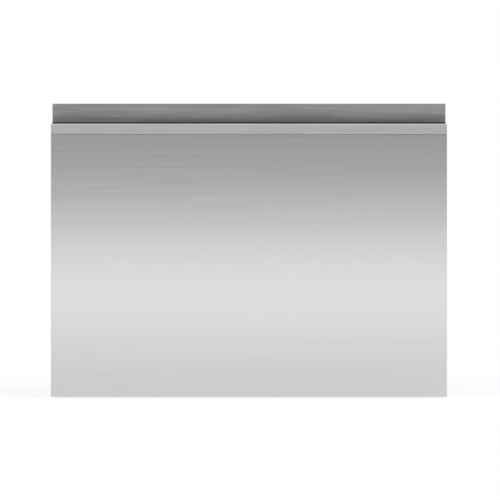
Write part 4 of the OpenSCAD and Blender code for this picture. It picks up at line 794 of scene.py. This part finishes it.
def makeBaskets(look):
    shells, walls, rims = bmesh.new(), bmesh.new(), []
    (y0, y1), (z0, z1), half = look["y"], look["z"], look["rim"]
    grille, divider = look["grille"], look["divider"]
    for sign in (-1, 1):
        x0, x1 = sorted(sign * x for x in look["x"])
        around = slottedRound(roundedOutline((x0, x1), look["y"], look["corner"], 3), look)
        rows = [[shells.verts.new(inMetres(u, v, z0 + level)) for u, v, _ in around] for level in look["levels"]]
        for row, (lower, upper) in enumerate(zip(rows, rows[1:])):
            for k, (_, _, openAfter) in enumerate(around):
                if not (openAfter and row in look["slotRows"]):
                    j = (k + 1) % len(around)
                    shells.faces.new((lower[k], lower[j], upper[j], upper[k]))
        floorX, floorY = (x0 + grille["insetX"], x1 - grille["insetX"]), (y0 + grille["insetY"], y1 - grille["insetY"])
        addGrille(shells, floorX, floorY, z0 + grille["lift"], grille["pitch"], grille["bar"])
        rims.append(wireLoop((x0 + half, x1 - half), (y0 + half, y1 - half), z1 - half))
        middle = (x0 + x1) / 2
        addBox(walls, (middle - divider["half"], y0 + divider["insetY"], z0 + divider["z"][0]),
               (middle + divider["half"], y1 - divider["insetY"], z0 + divider["z"][1]), divider["edge"])
    shell = withModifier(meshOf(shells, "basketShell"), "SOLIDIFY", thickness=look["wall"] * mm, offset=-1,
                         use_even_offset=True)
    rim = sweptWires("basketRims", rims, {"radius": half, "bend": look["corner"] - 1, "steps": 5, "sides": 10},
                     "basket_plastic")
    mesh = joined("cutleryBaskets", shell, rim, meshOf(walls, "basketDividers"))
    dressed("cutleryBaskets", mesh, "cutlery_basket", look["crease"])


makeBaskets(basketLook)
print("racks made")

# tub: one lofted shell from the can under the sump, round the rim and down inside
# box shapes are half width, front and back, and corner; round rows are (radius, height), wall rows (inset, height)
tubLook = {
    "centreY": -4, "outer": (257, (-220.5, 212.5), 22), "inner": (253, (-216.5, 208.5), 18),
    "rim": (270, (-234.5, 226.5), 22),
    "underside": ((15, 44.5), (31.5, 44.5), (32.5, 45.5), (32.5, 81), (102, 81), (103.6, 82), (104, 84), (104, 100)),
    "outerWall": ((0, 250), (0, 397.2), (-0.9, 399.3), (-3, 400.2)),
    "rimEdge": ((0.8, 400.2), (0, 401), (0, 403.4), (0.8, 404.2)),
    "innerWall": ((-3, 404.2), (-0.9, 403.3), (0, 401.2), (0, 250)), "floorInset": 50,
    "sump": ((103, 105), (100.9, 104.1), (100, 102), (100, 89), (98.8, 86.2), (96, 85), (32, 85), (30, 83.5),
             (30, 48.5), (28.5, 47), (15, 47)),
    "under": 100, "floor": 105, "bend": 9, "perCorner": 6, "perSide": 20, "crease": 38,
    "window": {"half": 70, "z": (299.2, 353.2), "past": 6, "corner": 3},
}
tubExtras = {
    "bracket": {"y": (-156.5, -4, 148.5), "x": (256.2, 283), "plateX": (280.6, 283), "half": 10, "z": (218.75, 241.25),
                "web": (229, 231.4), "fins": (-10, -1.2, 7.6), "fin": 2.4, "edge": 0.5, "plateEdge": 0.6},
    "rib": {"half": 1.1, "z": (112, 398), "edge": 0.5, "clear": 14, "sideX": (256.5, 259.4), "backY": (212, 215.4),
            "sideAt": [-186 + 45.6 * k for k in range(9)], "backAt": [-225 + 45 * k for k in range(11)]},
    "boss": {"count": 4, "radius": 118, "profile": ((5.6, 92), (6.4, 93), (6.4, 100.5)), "sides": 20},
    "plate": {"x": (-245, -215), "y": (172.5, 250.9), "corner": 12, "z": (95, 96, 101, 102), "middle": (-230, 211.7),
              "taper": (0.97, 0.988)},
    "pin": {"place": (-230, 238.9, 0), "profile": ((4.2, 74), (5, 74.8), (5, 100)), "sides": 28},
}


def makeTubShell(look):
    half, depth, corner = look["outer"]
    outline = roundedOutline((-half, half), depth, corner, look["perCorner"], look["perSide"])

    def boxRing(shape, inset, z):
        half, (front, back), corner = look[shape]
        return outlineRing((inset - half, half - inset), (front + inset, back - inset), max(1, corner - inset), z,
                           look["perCorner"], look["perSide"])

    def roundRing(radius, z):
        spots = []
        for u, v in outline:
            a = math.atan2(v - look["centreY"], u)
            spots.append(Vector(inMetres(radius * math.cos(a), look["centreY"] + radius * math.sin(a), z)))
        return spots

    bend, outward, inward = look["bend"], (0, 22.5, 45, 67.5, 90), (0, 18, 36, 54, 72, 90)
    rings = [roundRing(*row) for row in look["underside"]]
    for u, v in (circlePoint(bend, a) for a in outward):
        rings.append(boxRing("outer", bend - v, look["under"] + bend - u))
    rings += [boxRing("outer", *row) for row in look["outerWall"]]
    rings += [boxRing("rim", *row) for row in look["rimEdge"]]
    rings += [boxRing("inner", *row) for row in look["innerWall"]]
    for u, v in (circlePoint(bend, a) for a in inward):
        rings.append(boxRing("inner", bend - u, look["floor"] + bend - v))
    rings.append(boxRing("inner", look["floorInset"], look["floor"]))
    rings += [roundRing(*row) for row in look["sump"]]
    work, hole, window = bmesh.new(), bmesh.new(), look["window"]
    addLoft(work, rings)
    through = (look["outer"][1][0] - window["past"], look["inner"][1][0] + window["past"])
    boxBetween(hole, (-window["half"], window["half"]), through, window["z"], window["corner"])
    return cutAway(meshOf(work, "tubShell"), meshOf(hole, "tubWindow"))


def makeTubExtras(look):
    work = bmesh.new()
    bracket, rib, boss, plate, pin = (look[part] for part in ("bracket", "rib", "boss", "plate", "pin"))
    for sign in (-1, 1):
        out, plateOut, ribOut = ([sign * x for x in row] for row in (bracket["x"], bracket["plateX"], rib["sideX"]))
        for y in bracket["y"]:
            across = (y - bracket["half"], y + bracket["half"])
            for shift in bracket["fins"]:
                boxBetween(work, out, (y + shift, y + shift + bracket["fin"]), bracket["z"], bracket["edge"])
            boxBetween(work, out, across, bracket["web"], bracket["edge"])
            boxBetween(work, plateOut, across, bracket["z"], bracket["plateEdge"])
        for y in rib["sideAt"]:
            if min(abs(y - v) for v in bracket["y"]) > rib["clear"]:
                boxBetween(work, ribOut, (y - rib["half"], y + rib["half"]), rib["z"], rib["edge"])
    for x in rib["backAt"]:
        boxBetween(work, (x - rib["half"], x + rib["half"]), rib["backY"], rib["z"], rib["edge"])
    for k in range(boss["count"]):
        x, y = circlePoint(boss["radius"], 360 * (k + 0.5) / boss["count"], (0, tubLook["centreY"]))
        addLathe(work, boss["profile"], (x, y, 0), boss["sides"])
    rings = [outlineRing(plate["x"], plate["y"], plate["corner"], z, 8) for z in plate["z"]]
    middle = Vector(inMetres(*plate["middle"]))
    for ring in (rings[0], rings[-1]):  # the lowest and the highest are drawn in a little
        for spot in ring:
            spot.x = middle.x + (spot.x - middle.x) * plate["taper"][0]
            spot.y = middle.y + (spot.y - middle.y) * plate["taper"][1]
    addLoft(work, rings)
    addLathe(work, pin["profile"], pin["place"], pin["sides"])
    return meshOf(work, "tubRibs")


dressed("tubShell", joined("tubShell", makeTubShell(tubLook), makeTubExtras(tubExtras)), "tub", tubLook["crease"])
print("tub made")

# spray arm; its hub and nozzle are (radius, height) profiles
armLook = {
    "centreY": -4, "z": (118, 126), "reach": 195, "root": 21, "tip": 10, "swell": 1.15, "sides": 20, "crease": 50,
    "tipTurns": (10, 25, 45, 65, 90), "stations": (-150, -110, -70, -35, 0), "squareness": (0.75, 0.55),
    "thin": (0.45, 0.55),
    "hub": ((18.8, 110), (23, 110), (24, 111), (24, 116), (22.5, 119), (22, 125), (20, 127.2), (17, 128), (6, 128),
            (5.4, 127.2), (5.4, 122), (18.8, 119.4)),
    "marks": {"count": 8, "radius": 14, "half": 1.6, "z": (127.6, 128.5), "edge": 0.4},
    "nozzle": ((0.9, -0.6), (0.9, 1.1), (1.6, 1.5), (2.5, 1.5), (3, 0.9), (3.2, -0.6)),
    "jets": {"count": 5, "parts": 5.6, "back": 2, "aside": 3, "lean": (0.12, -0.25)},
}


def makeSprayArm(look):
    cy, (low, high) = look["centreY"], look["z"]
    middle, half, reach, tip = (low + high) / 2, (high - low) / 2, look["reach"], look["tip"]
    stations = [(-reach + tip - u, v) for u, v in (circlePoint(tip, a) for a in look["tipTurns"])]
    for u in look["stations"]:
        stations.append((u, tip + (look["root"] - tip) * (1 - abs(u) / (reach - tip)) ** look["swell"]))
    stations += [(-u, wide) for u, wide in stations[-2::-1]]
    (flatX, flatZ), (least, more) = look["squareness"], look["thin"]
    rings = []
    for u, wide in stations:
        thick = half * min(1, least + wide / tip * more)
        ring = []
        for k in range(look["sides"]):
            c, s = circlePoint(1, 360 * k / look["sides"])
            ring.append(Vector(inMetres(u, cy + wide * math.copysign(abs(c) ** flatX, c),
                                        middle + thick * math.copysign(abs(s) ** flatZ, s))))
        rings.append(ring)
    work = bmesh.new()
    addLoft(work, rings)
    addLathe(work, look["hub"], (0, cy, 0), 48, hollow=True)
    marks, jets = look["marks"], look["jets"]
    for k in range(marks["count"]):
        x, y = circlePoint(marks["radius"], 360 * (k + 0.5) / marks["count"], (0, cy))
        boxBetween(work, (x - marks["half"], x + marks["half"]), (y - marks["half"], y + marks["half"]), marks["z"],
                   marks["edge"])
    nozzle, spots = bmesh.new(), []
    addLathe(nozzle, look["nozzle"], (0, 0, 0), 16, hollow=True)
    leanX, leanY = jets["lean"]
    for sign in (-1, 1):
        for k in range(1, jets["count"] + 1):
            aside = sign * (k % 2 * 2 - 1)  # left and right of the arm's middle by turns
            spots.append(((sign * (reach * k / jets["parts"] - jets["back"]), cy + aside * jets["aside"], high),
                          (leanX * sign, leanY * aside, 1)))
    jetMesh = setOut("sprayJets", meshOf(nozzle, "nozzle"), spots, "arm_plastic")
    dressed("sprayArmBody", joined("sprayArmBody", meshOf(work, "armBody"), jetMesh), "spray_arm", look["crease"])


# filter plate: bands of slots between spokes, a tower in the middle and a hole over the drain
filterLook = {
    "centreY": -4, "z": (105, 107.5), "sink": 0.9, "spokes": 96, "slotShare": 0.62, "openBands": (2, 4, 6),
    "crease": 40,
    "bands": (14.5, 31, 36, 52, 56.5, 72.5, 77, 92, 97, 112), "drain": (0, 73), "drainR": 22.7, "drainClear": 31.3,
    "tower": ((14, 105), (20, 105), (20, 107.5), (18, 108.5), (18, 114.5), (17.2, 115.5), (14.6, 115.5), (14, 114.9)),
    "outerRim": ((105, 105), (111.2, 105), (112, 105.6), (112, 106.9), (111.2, 107.5), (108, 107.5), (105, 106.6)),
    "drainRim": ((22.3, 105), (25.7, 105), (25.7, 107.1), (25.3, 107.5), (22.3, 107.5)),
}


def makeFilterPlate(look):
    cy, (low, high), bands, count = look["centreY"], look["z"], look["bands"], look["spokes"]

    def station(radius, k):
        pair, odd = divmod(k, 2)
        return circlePoint(radius, 360 * (pair + (look["slotShare"] if odd else 0)) / count)

    work = bmesh.new()
    grid = []
    for radius in bands:
        spots = (station(radius, k) for k in range(2 * count))
        grid.append([work.verts.new(inMetres(u, cy + v, high - look["sink"])) for u, v in spots])
    for band, (inner, outer) in enumerate(zip(grid, grid[1:])):
        for k in range(2 * count):
            spot = station((bands[band] + bands[band + 1]) / 2, k)
            clear = math.dist(spot, look["drain"]) >= look["drainClear"]
            if not (band in look["openBands"] and k % 2 and clear):
                j = (k + 1) % (2 * count)
                work.faces.new((inner[k], inner[j], outer[j], outer[k]))
    sheet = withModifier(meshOf(work, "grating"), "SOLIDIFY", thickness=(high - low - look["sink"]) * mm, offset=-1)
    dx, dy = look["drain"]
    drain = (dx, cy + dy, 0)
    hole = bmesh.new()
    addLathe(hole, [(look["drainR"], low - 4), (look["drainR"], high + 4)], drain, 48)
    sheet = cutAway(sheet, meshOf(hole, "drainHole"))
    rims = bmesh.new()
    for part, centre, sides in (("tower", (0, cy, 0), 48), ("outerRim", (0, cy, 0), 96), ("drainRim", drain, 48)):
        addLathe(rims, look[part], centre, sides, hollow=True)
    dressed("filterGrating", joined("filterGrating", sheet, meshOf(rims, "filterRims")), "filter_plate", look["crease"])


makeSprayArm(armLook)
makeFilterPlate(filterLook)
print("wash system made")


def repeated(shape, start, pitch, end):
    # one turn of a thread or one barb, set behind the other as long as it starts before the end
    profile, level = [], start
    while level < end:
        profile += [(radius, level + lift) for radius, lift in shape]
        level += pitch
    return profile


# chassis screws; the thread is one turn, its start, its pitch and its end
screwLook = {"x": 290.5, "rear": (284.9, (52, 227.75, 403.5)), "roof": (443.5, (-202.5, 254.9)), "sides": 24,
             "point": (0.5, -9), "thread": (((1.55, 0), (1.9, 0.4), (1.55, 0.8)), -7.4, 1.2, -1), "crease": 35,
             "head": [(1.6, 0), (3.3, 0), (3.5, 0.25), (3.395, 0.8), (2.87, 1.376), (1.75, 1.6)],
             "recess": {"long": 1.9, "half": 0.375, "z": (0.7, 2.6)}}


def screwMesh(look):
    work, recess = bmesh.new(), look["recess"]
    addLathe(work, [look["point"]] + repeated(*look["thread"]) + look["head"], (0, 0, 0), look["sides"])
    made = meshOf(work, "screw")
    for a, b in ((recess["long"], recess["half"]), (recess["half"], recess["long"])):
        cross = bmesh.new()
        boxBetween(cross, (-a, a), (-b, b), recess["z"])
        made = cutAway(made, meshOf(cross, "crossSlot"))
    return made


def makeScrews(look):
    spots = []
    (rearY, heights), (roofZ, depths) = look["rear"], look["roof"]
    for x in (-look["x"], look["x"]):
        spots += [((x, rearY, z), (0, 1, 0)) for z in heights] + [((x, y, roofZ), (0, 0, 1)) for y in depths]
    mesh = setOut("chassisScrews", screwMesh(look), spots, "screw_steel")
    dressed("chassisScrews", mesh, "chassis_screws", look["crease"])


# levelling feet; a nut's row is its lowest, its highest and its radius at the corners
footLook = {"x": 282, "y": (-187.5, 239.9), "nuts": ((7, 12, 8), (13, 18, 7)), "nutEdge": 0.5, "nutTaper": 0.93,
            "pad": [(10.5, 0), (12, 1), (12, 2.6), (11, 3.6), (9, 4), (5, 4), (3.6, 4.6)], "sides": 32,
            "thread": (((3.6, 0), (4, 0.56), (3.6, 1.12)), 4.8, 1.4, 23.6), "end": [(3.4, 24.7), (2.6, 25)],
            "crease": 35}


def makeFeet(look):
    work, edge, taper = bmesh.new(), look["nutEdge"], look["nutTaper"]
    for x in (-look["x"], look["x"]):
        for y in look["y"]:
            addLathe(work, look["pad"] + repeated(*look["thread"]) + look["end"], (x, y, 0), look["sides"])
            for low, high, radius in look["nuts"]:
                levels = ((low, taper), (low + edge, 1), (high - edge, 1), (high, taper))
                addLoft(work, [[Vector(inMetres(*circlePoint(radius * scale, 60 * k, (x, y)), z)) for k in range(6)]
                               for z, scale in levels])
    dressed("levellingFeet", meshOf(work, "levellingFeet"), "levelling_feet", look["crease"])


makeScrews(screwLook)
makeFeet(footLook)
print("screws and feet made")

# water connections in the pocket of the rear sheet; profiles run along y
portLook = {
    "crease": 35,
    "inlet": {
        "place": (231, 0, 212), "sides": 48,
        "start": [(9.1, 251.9), (12.4, 251.9), (12.4, 259.4), (12.9, 259.7), (12.9, 265.1), (12.1, 265.9)],
        "thread": (((12.1, 0), (13.05, 0.75), (13.05, 1), (12.1, 1.75)), 265.9, 1.8, 280.5),
        "end": [(12.1, 282.5), (11.6, 282.9), (9.6, 282.9), (9.1, 282.4)],
        "nut": [(12, 245.9), (17.6, 245.9), (18.1, 246.5), (18.1, 257.3), (17.6, 257.9), (12, 257.9)],
        "grip": {"count": 8, "radius": 15.4, "half": 0.9, "y": (246.9, 256.9), "edge": 0.4}},
    "valve": {
        "x": (218, 244), "y": (227.9, 246.9), "z": (198, 238), "edge": 1.2,
        "ribs": {"x": (220.5, 241.5), "z": (237.6, 238.4), "first": 230.4, "step": 5.4, "wide": 1.4, "count": 3,
                 "edge": 0.3},
        "coilAt": (231, 237.4, 212),
        "coil": [(5, 25), (9, 25), (9, 28), (8.2, 28.6), (8.2, 44), (9, 44.6), (9, 46.8), (8, 48), (3.4, 48)]},
    "spigot": {
        "place": (187, 0, 168), "sides": 44,
        "start": [(8, 237.9), (8.8, 237.9), (9.2, 238.5), (9.6, 244.9), (9.1, 245.3), (9.1, 253.9), (9.3, 254.9),
                  (9.3, 259.4)],
        "thread": (((9.95, 0), (9.95, 0.7), (9, 4.1)), 259.5, 4.3, 278.9),
        "end": [(9.95, 281), (9.95, 281.7), (8.8, 282.9), (8, 282.9)],
        "nut": [(9, 253.9), (15.4, 253.9), (16, 254.5), (16, 257.5), (15.6, 257.9), (9, 257.9)]},
}


def addPort(work, look):
    profile = look["start"] + repeated(*look["thread"]) + look["end"]
    for part in (profile, look["nut"]):
        addLathe(work, part, look["place"], look["sides"], "y", True)


def makePorts(look):
    work, inlet, valve = bmesh.new(), look["inlet"], look["valve"]
    grip, ribs = inlet["grip"], valve["ribs"]
    addPort(work, inlet)
    for k in range(grip["count"]):
        x, z = circlePoint(grip["radius"], 360 * k / grip["count"], inlet["place"][::2])
        wide, tall = ((middle - grip["half"], middle + grip["half"]) for middle in (x, z))
        boxBetween(work, wide, grip["y"], tall, grip["edge"])
    boxBetween(work, valve["x"], valve["y"], valve["z"], valve["edge"])
    for k in range(ribs["count"]):
        y = ribs["first"] + ribs["step"] * k
        boxBetween(work, ribs["x"], (y, y + ribs["wide"]), ribs["z"], ribs["edge"])
    addLathe(work, valve["coil"], valve["coilAt"], 36)
    dressed("inletValveBody", meshOf(work, "inletValveBody"), "inlet_valve", look["crease"])
    work = bmesh.new()
    addPort(work, look["spigot"])
    dressed("drainSpigotBody", meshOf(work, "drainSpigotBody"), "drain_spigot", look["crease"])


makePorts(portLook)
print("connections made")

# corrugated hoses in the link; a run is its node, its elbow's y and z, its way and its name
hoseLook = {"radius": 8, "length": (15, 441), "pitch": 4.2, "girths": (1, 0.97, 0.86, 0.97), "plain": 14,
            "plainGirth": 0.93, "x": -230, "angle": 1.74405, "sides": 18, "clipIn": 7,
            "clip": ((7.2, -2.6), (7.9, -2.6), (7.9, 2.6), (7.2, 2.6)),
            "runs": (("link_hose_chassis", 266.9, 58.3, -1, "Lower"), ("link_hose_tub", 238.9, 82.3, 1, "Upper")),
            "crease": 50}


def makeHoses(look):
    start, end = look["length"]
    count = int((end - start) / look["pitch"] * 4)
    for node, y, z, way, label in look["runs"]:
        a = math.radians(look["angle"] * way)
        points, girths = [], []
        for k in range(count + 1):
            u = start + (end - start) * k / count
            plain = min(u - start, end - u) < look["plain"]
            points.append(Vector((look["x"] + u * math.cos(a), y + u * math.sin(a), z)))
            girths.append(look["plainGirth"] if plain else look["girths"][k % 4])
        run = {"points": points, "closed": False, "girths": girths}
        mesh = sweptWires(node, [run], look, "hose_rubber", bend=0, steps=1)
        clips = bmesh.new()
        for u in (start + look["clipIn"], end - look["clipIn"]):
            addLathe(clips, look["clip"], (look["x"] + u * math.cos(a), y + u * math.sin(a), z), 28, "x", True)
        name = "corrugatedHose" + label
        dressed(name, joined(name, mesh, meshOf(clips, "hoseClips")), node, look["crease"])


makeHoses(hoseLook)
print("hoses made")

# small fittings that lie on the CAD solids: slide screws, fascia lamps, and a dark strip in the seam under the rail
# that paints the seam's shade
fittingLook = {
    "screws": {"x": 284.2, "y": (-156.5, -4, 148.5), "shifts": (-5, 5), "z": 230, "crease": 35,
               "profile": ((1.2, -0.5), (2.8, -0.5), (3, 0.2), (2.8, 0.9), (2, 1.35), (1.1, 1.45), (0.9, 0.7))},
    "lamps": {"x": [-30 + 15 * k for k in range(6)], "y": -243.75, "z": 446.5, "crease": 50,
              "profile": ((1.3, -0.5), (1.3, 0.05), (1.105, 0.16), (0.52, 0.22))},
    "seam": {"x": (-299.3, 299.3), "y": (-286.42, -285.6), "z": (398.42, 398.88), "edge": 0.04, "crease": 40},
}


def makeFittings(look):
    screws, lamps, seam = look["screws"], look["lamps"], look["seam"]
    spots = [((sign * screws["x"], y + shift, screws["z"]), (sign, 0, 0))
             for sign in (-1, 1) for y in screws["y"] for shift in screws["shifts"]]
    lights = [((x, lamps["y"], lamps["z"]), (0, 0, 1)) for x in lamps["x"]]
    for name, part, places, slot in (("slideScrews", screws, spots, "screw_steel"),
                                     ("fasciaLamps", lamps, lights, "button_plastic")):
        one = bmesh.new()
        addLathe(one, part["profile"], (0, 0, 0), 20)
        linkPiece(name, setOut(name, meshOf(one, "one"), places, slot), "drawer", slot, part["crease"])
    # painted shade: a thin dark strip set in the gap between rail and skin stands for the seam's shadow
    work = bmesh.new()
    boxBetween(work, seam["x"], seam["y"], seam["z"], seam["edge"])
    linkPiece("railSeam", meshOf(work, "railSeam"), "drawer", "grip_plastic", seam["crease"])


# louvre hoods on the rear sheet
# an end is (distance from it, share of the section); a section's point is (out, fixed shift of it, down)
louvreLook = {"half": 60, "middle": -196, "face": 284.9, "heights": [162.4 + 18 * k for k in range(8)], "crease": 40,
              "ends": ((0, 0.05), (1.2, 0.55), (3.5, 0.95), (6, 1)),
              "section": ((0, -0.2, 7), (0.15, 0, 7), (0.78, 0, 3.5), (1.235, 0, 0.84), (1.3, 0, 0), (1.3, -0.35, 0),
                          (0, -0.2, 1.75))}


def makeLouvres(look):
    left = [(far - look["half"], share) for far, share in look["ends"]]
    rings = [[Vector(inMetres(u, -down * share, out * share + shift)) for out, shift, down in look["section"]]
             for u, share in left + [(-u, share) for u, share in left[::-1]]]
    hood = bmesh.new()
    addLoft(hood, rings)
    spots = [((look["middle"], look["face"], z), (0, 1, 0)) for z in look["heights"]]
    mesh = setOut("rearLouvres", meshOf(hood, "hood"), spots, "chassis_steel")
    linkPiece("rearLouvres", mesh, "chassis", "chassis_steel", look["crease"])


makeFittings(fittingLook)
makeLouvres(louvreLook)
print("fittings made")

# every other piece is a copy of its CAD solid with rounded edges, in metres
# on the sheets only edges longer than sheetEdge are rounded, and small holes stay crisp
# a trim moves what lies between two heights by a shift
copyLook = {
    "edge": 0.0003, "edges": {"handle_rail": 0.00025}, "angle": 35, "segments": 2, "crease": 40, "near": 2e-5,
    "degenerate": 1e-6, "flat": 0.6, "sheets": ("side_panel_left", "side_panel_right", "rear_panel", "top_panel"),
    "sheetEdge": 0.003, "trims": {"front_skin": (0.3985, 0.4002, -0.0009), "handle_rail": (0.3985, 0.4002, -0.0009),
                                  "grip_liner": (0.416, 0.417, 0.0007)},
}


def mergedCopy(node, look):
    work = bmesh.new()
    work.from_mesh(cadNodes[node].data)
    bmesh.ops.remove_doubles(work, verts=work.verts, dist=look["near"])
    bmesh.ops.dissolve_degenerate(work, dist=look["degenerate"], edges=work.edges)
    bmesh.ops.dissolve_limit(work, angle_limit=math.radians(look["flat"]), verts=work.verts, edges=work.edges,
                             use_dissolve_boundaries=False)
    bmesh.ops.triangulate(work, faces=[face for face in work.faces if len(face.verts) > 4])
    return meshOf(work, node + "Fine", recalc=False)


def markLongEdges(mesh, shortest, angle):
    with editing(mesh) as work:
        weight = work.edges.layers.float.new("bevel_weight_edge")
        for edge in work.edges:
            turned = len(edge.link_faces) == 2 and edge.calc_face_angle(0) > math.radians(angle)
            edge[weight] = float(turned and edge.calc_length() > shortest)


def refinedCopy(node, look):
    mesh, limit = mergedCopy(node, look), "ANGLE"
    if node in look["trims"]:
        low, high, shift = look["trims"][node]
        for vert in mesh.vertices:
            if low < vert.co.z < high:
                vert.co.z += shift
    if node in look["sheets"]:
        markLongEdges(mesh, look["sheetEdge"], look["angle"])
        limit = "WEIGHT"
    mesh = withModifier(mesh, "BEVEL", width=look["edges"].get(node, look["edge"]), segments=look["segments"],
                        limit_method=limit, angle_limit=math.radians(look["angle"]), use_clamp_overlap=True,
                        miter_outer="MITER_ARC")
    linkPiece(node + "Fine", mesh, bodyOf[node], slotOf[node], look["crease"], [node])


for node in sorted(set(cadNodes) - replacedNodes):
    refinedCopy(node, copyLook)
print("pieces refined")

# stage: floor, room light, and the card in front that the steel mirrors
stageLook = {"floorSize": 14, "floorZ": -0.0003, "floorColour": 0.8, "floorGlow": 0.77, "floorShade": 0.26,
             "roomLight": 0.55, "fade": (0.7, 1.6)}
reflector = {  # the stops are (height in metres, brightness)
    "depth": -1.15, "half": 1.6, "top": 1.2, "strength": 1.6,
    "stops": [(0.0, 0.0), (0.05, 0.47), (0.1, 1.37), (0.15, 1.52), (0.2, 1.22), (0.25, 0.85), (0.3, 0.53), (0.35, 0.38),
              (0.4, 0.26), (0.45, 0.16), (0.5, 0.21), (0.56, 0.45), (0.62, 0.72), (0.7, 0.88), (0.85, 0.9), (1.0, 0.85),
              (1.2, 0.78)],
}
lampLook = {"aim": (0, 0, 0.2), "lamps": (  # name, place, size in metres and power in watts
    ("keyLamp", (-1.3, -1.9, 2.2), 1.2, 26), ("fillLamp", (1.7, -1.5, 1.8), 1.2, 16),
    ("backLamp", (0.6, 2.2, 2.0), 1.4, 22))}


def viewRays(tree):
    path = newNode(tree, "ShaderNodeLightPath").outputs
    first = mathNode(tree, "MAXIMUM", path["Is Camera Ray"], path["Is Glossy Ray"])
    return mathNode(tree, "MAXIMUM", first, path["Is Transmission Ray"])


def stageCard(name, corners):
    # a flat card of the stage with a material that is still bare
    mesh = bpy.data.meshes.new(name)
    mesh.from_pydata(corners, [], [(0, 1, 2, 3)])
    card = newObject(name, mesh)
    material, tree, shader = newMaterial(name)
    tree.nodes.remove(shader)
    mesh.materials.append(material)
    return card, tree, tree.nodes["Material Output"].inputs["Surface"]


def mixShader(tree, mask, first, second):
    return newNode(tree, "ShaderNodeMixShader", {0: mask, 1: first, 2: second}).outputs[0]


def makeFloor(look):
    size = look["floorSize"]
    corners = [(-size, -size, 0), (size, -size, 0), (size, size, 0), (-size, size, 0)]
    floor, tree, surface = stageCard("studioFloor", corners)
    floor.location.z = look["floorZ"]
    plain, shade = (newNode(tree, "ShaderNodeBsdfDiffuse", {"Color": [look[part]] * 3}).outputs[0]
                    for part in ("floorColour", "floorShade"))
    glow = newNode(tree, "ShaderNodeEmission", {"Strength": look["floorGlow"]}).outputs[0]
    near = newNode(tree, "ShaderNodeAddShader", {0: shade, 1: glow}).outputs[0]
    white = newNode(tree, "ShaderNodeEmission").outputs[0]
    reach = newNode(tree, "ShaderNodeVectorMath", {0: objectCoords(tree)}, operation="LENGTH").outputs["Value"]
    ends = {"Value": reach, "From Min": look["fade"][0], "From Max": look["fade"][1]}
    away = newNode(tree, "ShaderNodeMapRange", ends, interpolation_type="SMOOTHSTEP").outputs["Result"]
    above = mixShader(tree, viewRays(tree), plain, mixShader(tree, away, near, white))
    back = newNode(tree, "ShaderNodeNewGeometry").outputs["Backfacing"]  # see-through from below
    feed(tree, surface, mixShader(tree, back, above, newNode(tree, "ShaderNodeBsdfTransparent").outputs[0]))


def makeWorld(look):
    world = bpy.data.worlds.new("studio")
    bpy.context.scene.world = world
    world.use_nodes = True
    tree = world.node_tree
    background = tree.nodes["Background"]
    feed(tree, background.inputs["Color"], (1, 1, 1))
    feed(tree, background.inputs["Strength"], rangeNode(tree, viewRays(tree), look["roomLight"], 1))


def makeReflector(look):
    half, top, y, strength = look["half"], look["top"], look["depth"], look["strength"]
    card, tree, surface = stageCard("reflectorCard", [(-half, y, 0), (half, y, 0), (half, y, top), (-half, y, top)])
    height = newNode(tree, "ShaderNodeSeparateXYZ", {0: objectCoords(tree)}).outputs["Z"]
    stops = [(z / top, [value / strength] * 3) for z, value in look["stops"]]
    tone = rampNode(tree, mathNode(tree, "DIVIDE", height, top), stops)
    feed(tree, surface, newNode(tree, "ShaderNodeEmission", {"Color": tone, "Strength": strength}).outputs[0])
    card.visible_camera = card.visible_diffuse = card.visible_shadow = card.visible_transmission = False


def makeLamp(name, place, size, power, aim):
    data = bpy.data.lights.new(name, "AREA")
    data.shape, data.size, data.energy = "SQUARE", size, power
    lamp = newObject(name, data)
    lamp.location = place
    lamp.visible_glossy = False
    lamp.rotation_euler = (Vector(aim) - Vector(place)).to_track_quat("-Z", "Y").to_euler()


makeFloor(stageLook)
makeWorld(stageLook)
makeReflector(reflector)
for row in lampLook["lamps"]:
    makeLamp(*row, lampLook["aim"])
bpy.context.scene.view_settings.view_transform = "Standard"
print("stage lit")
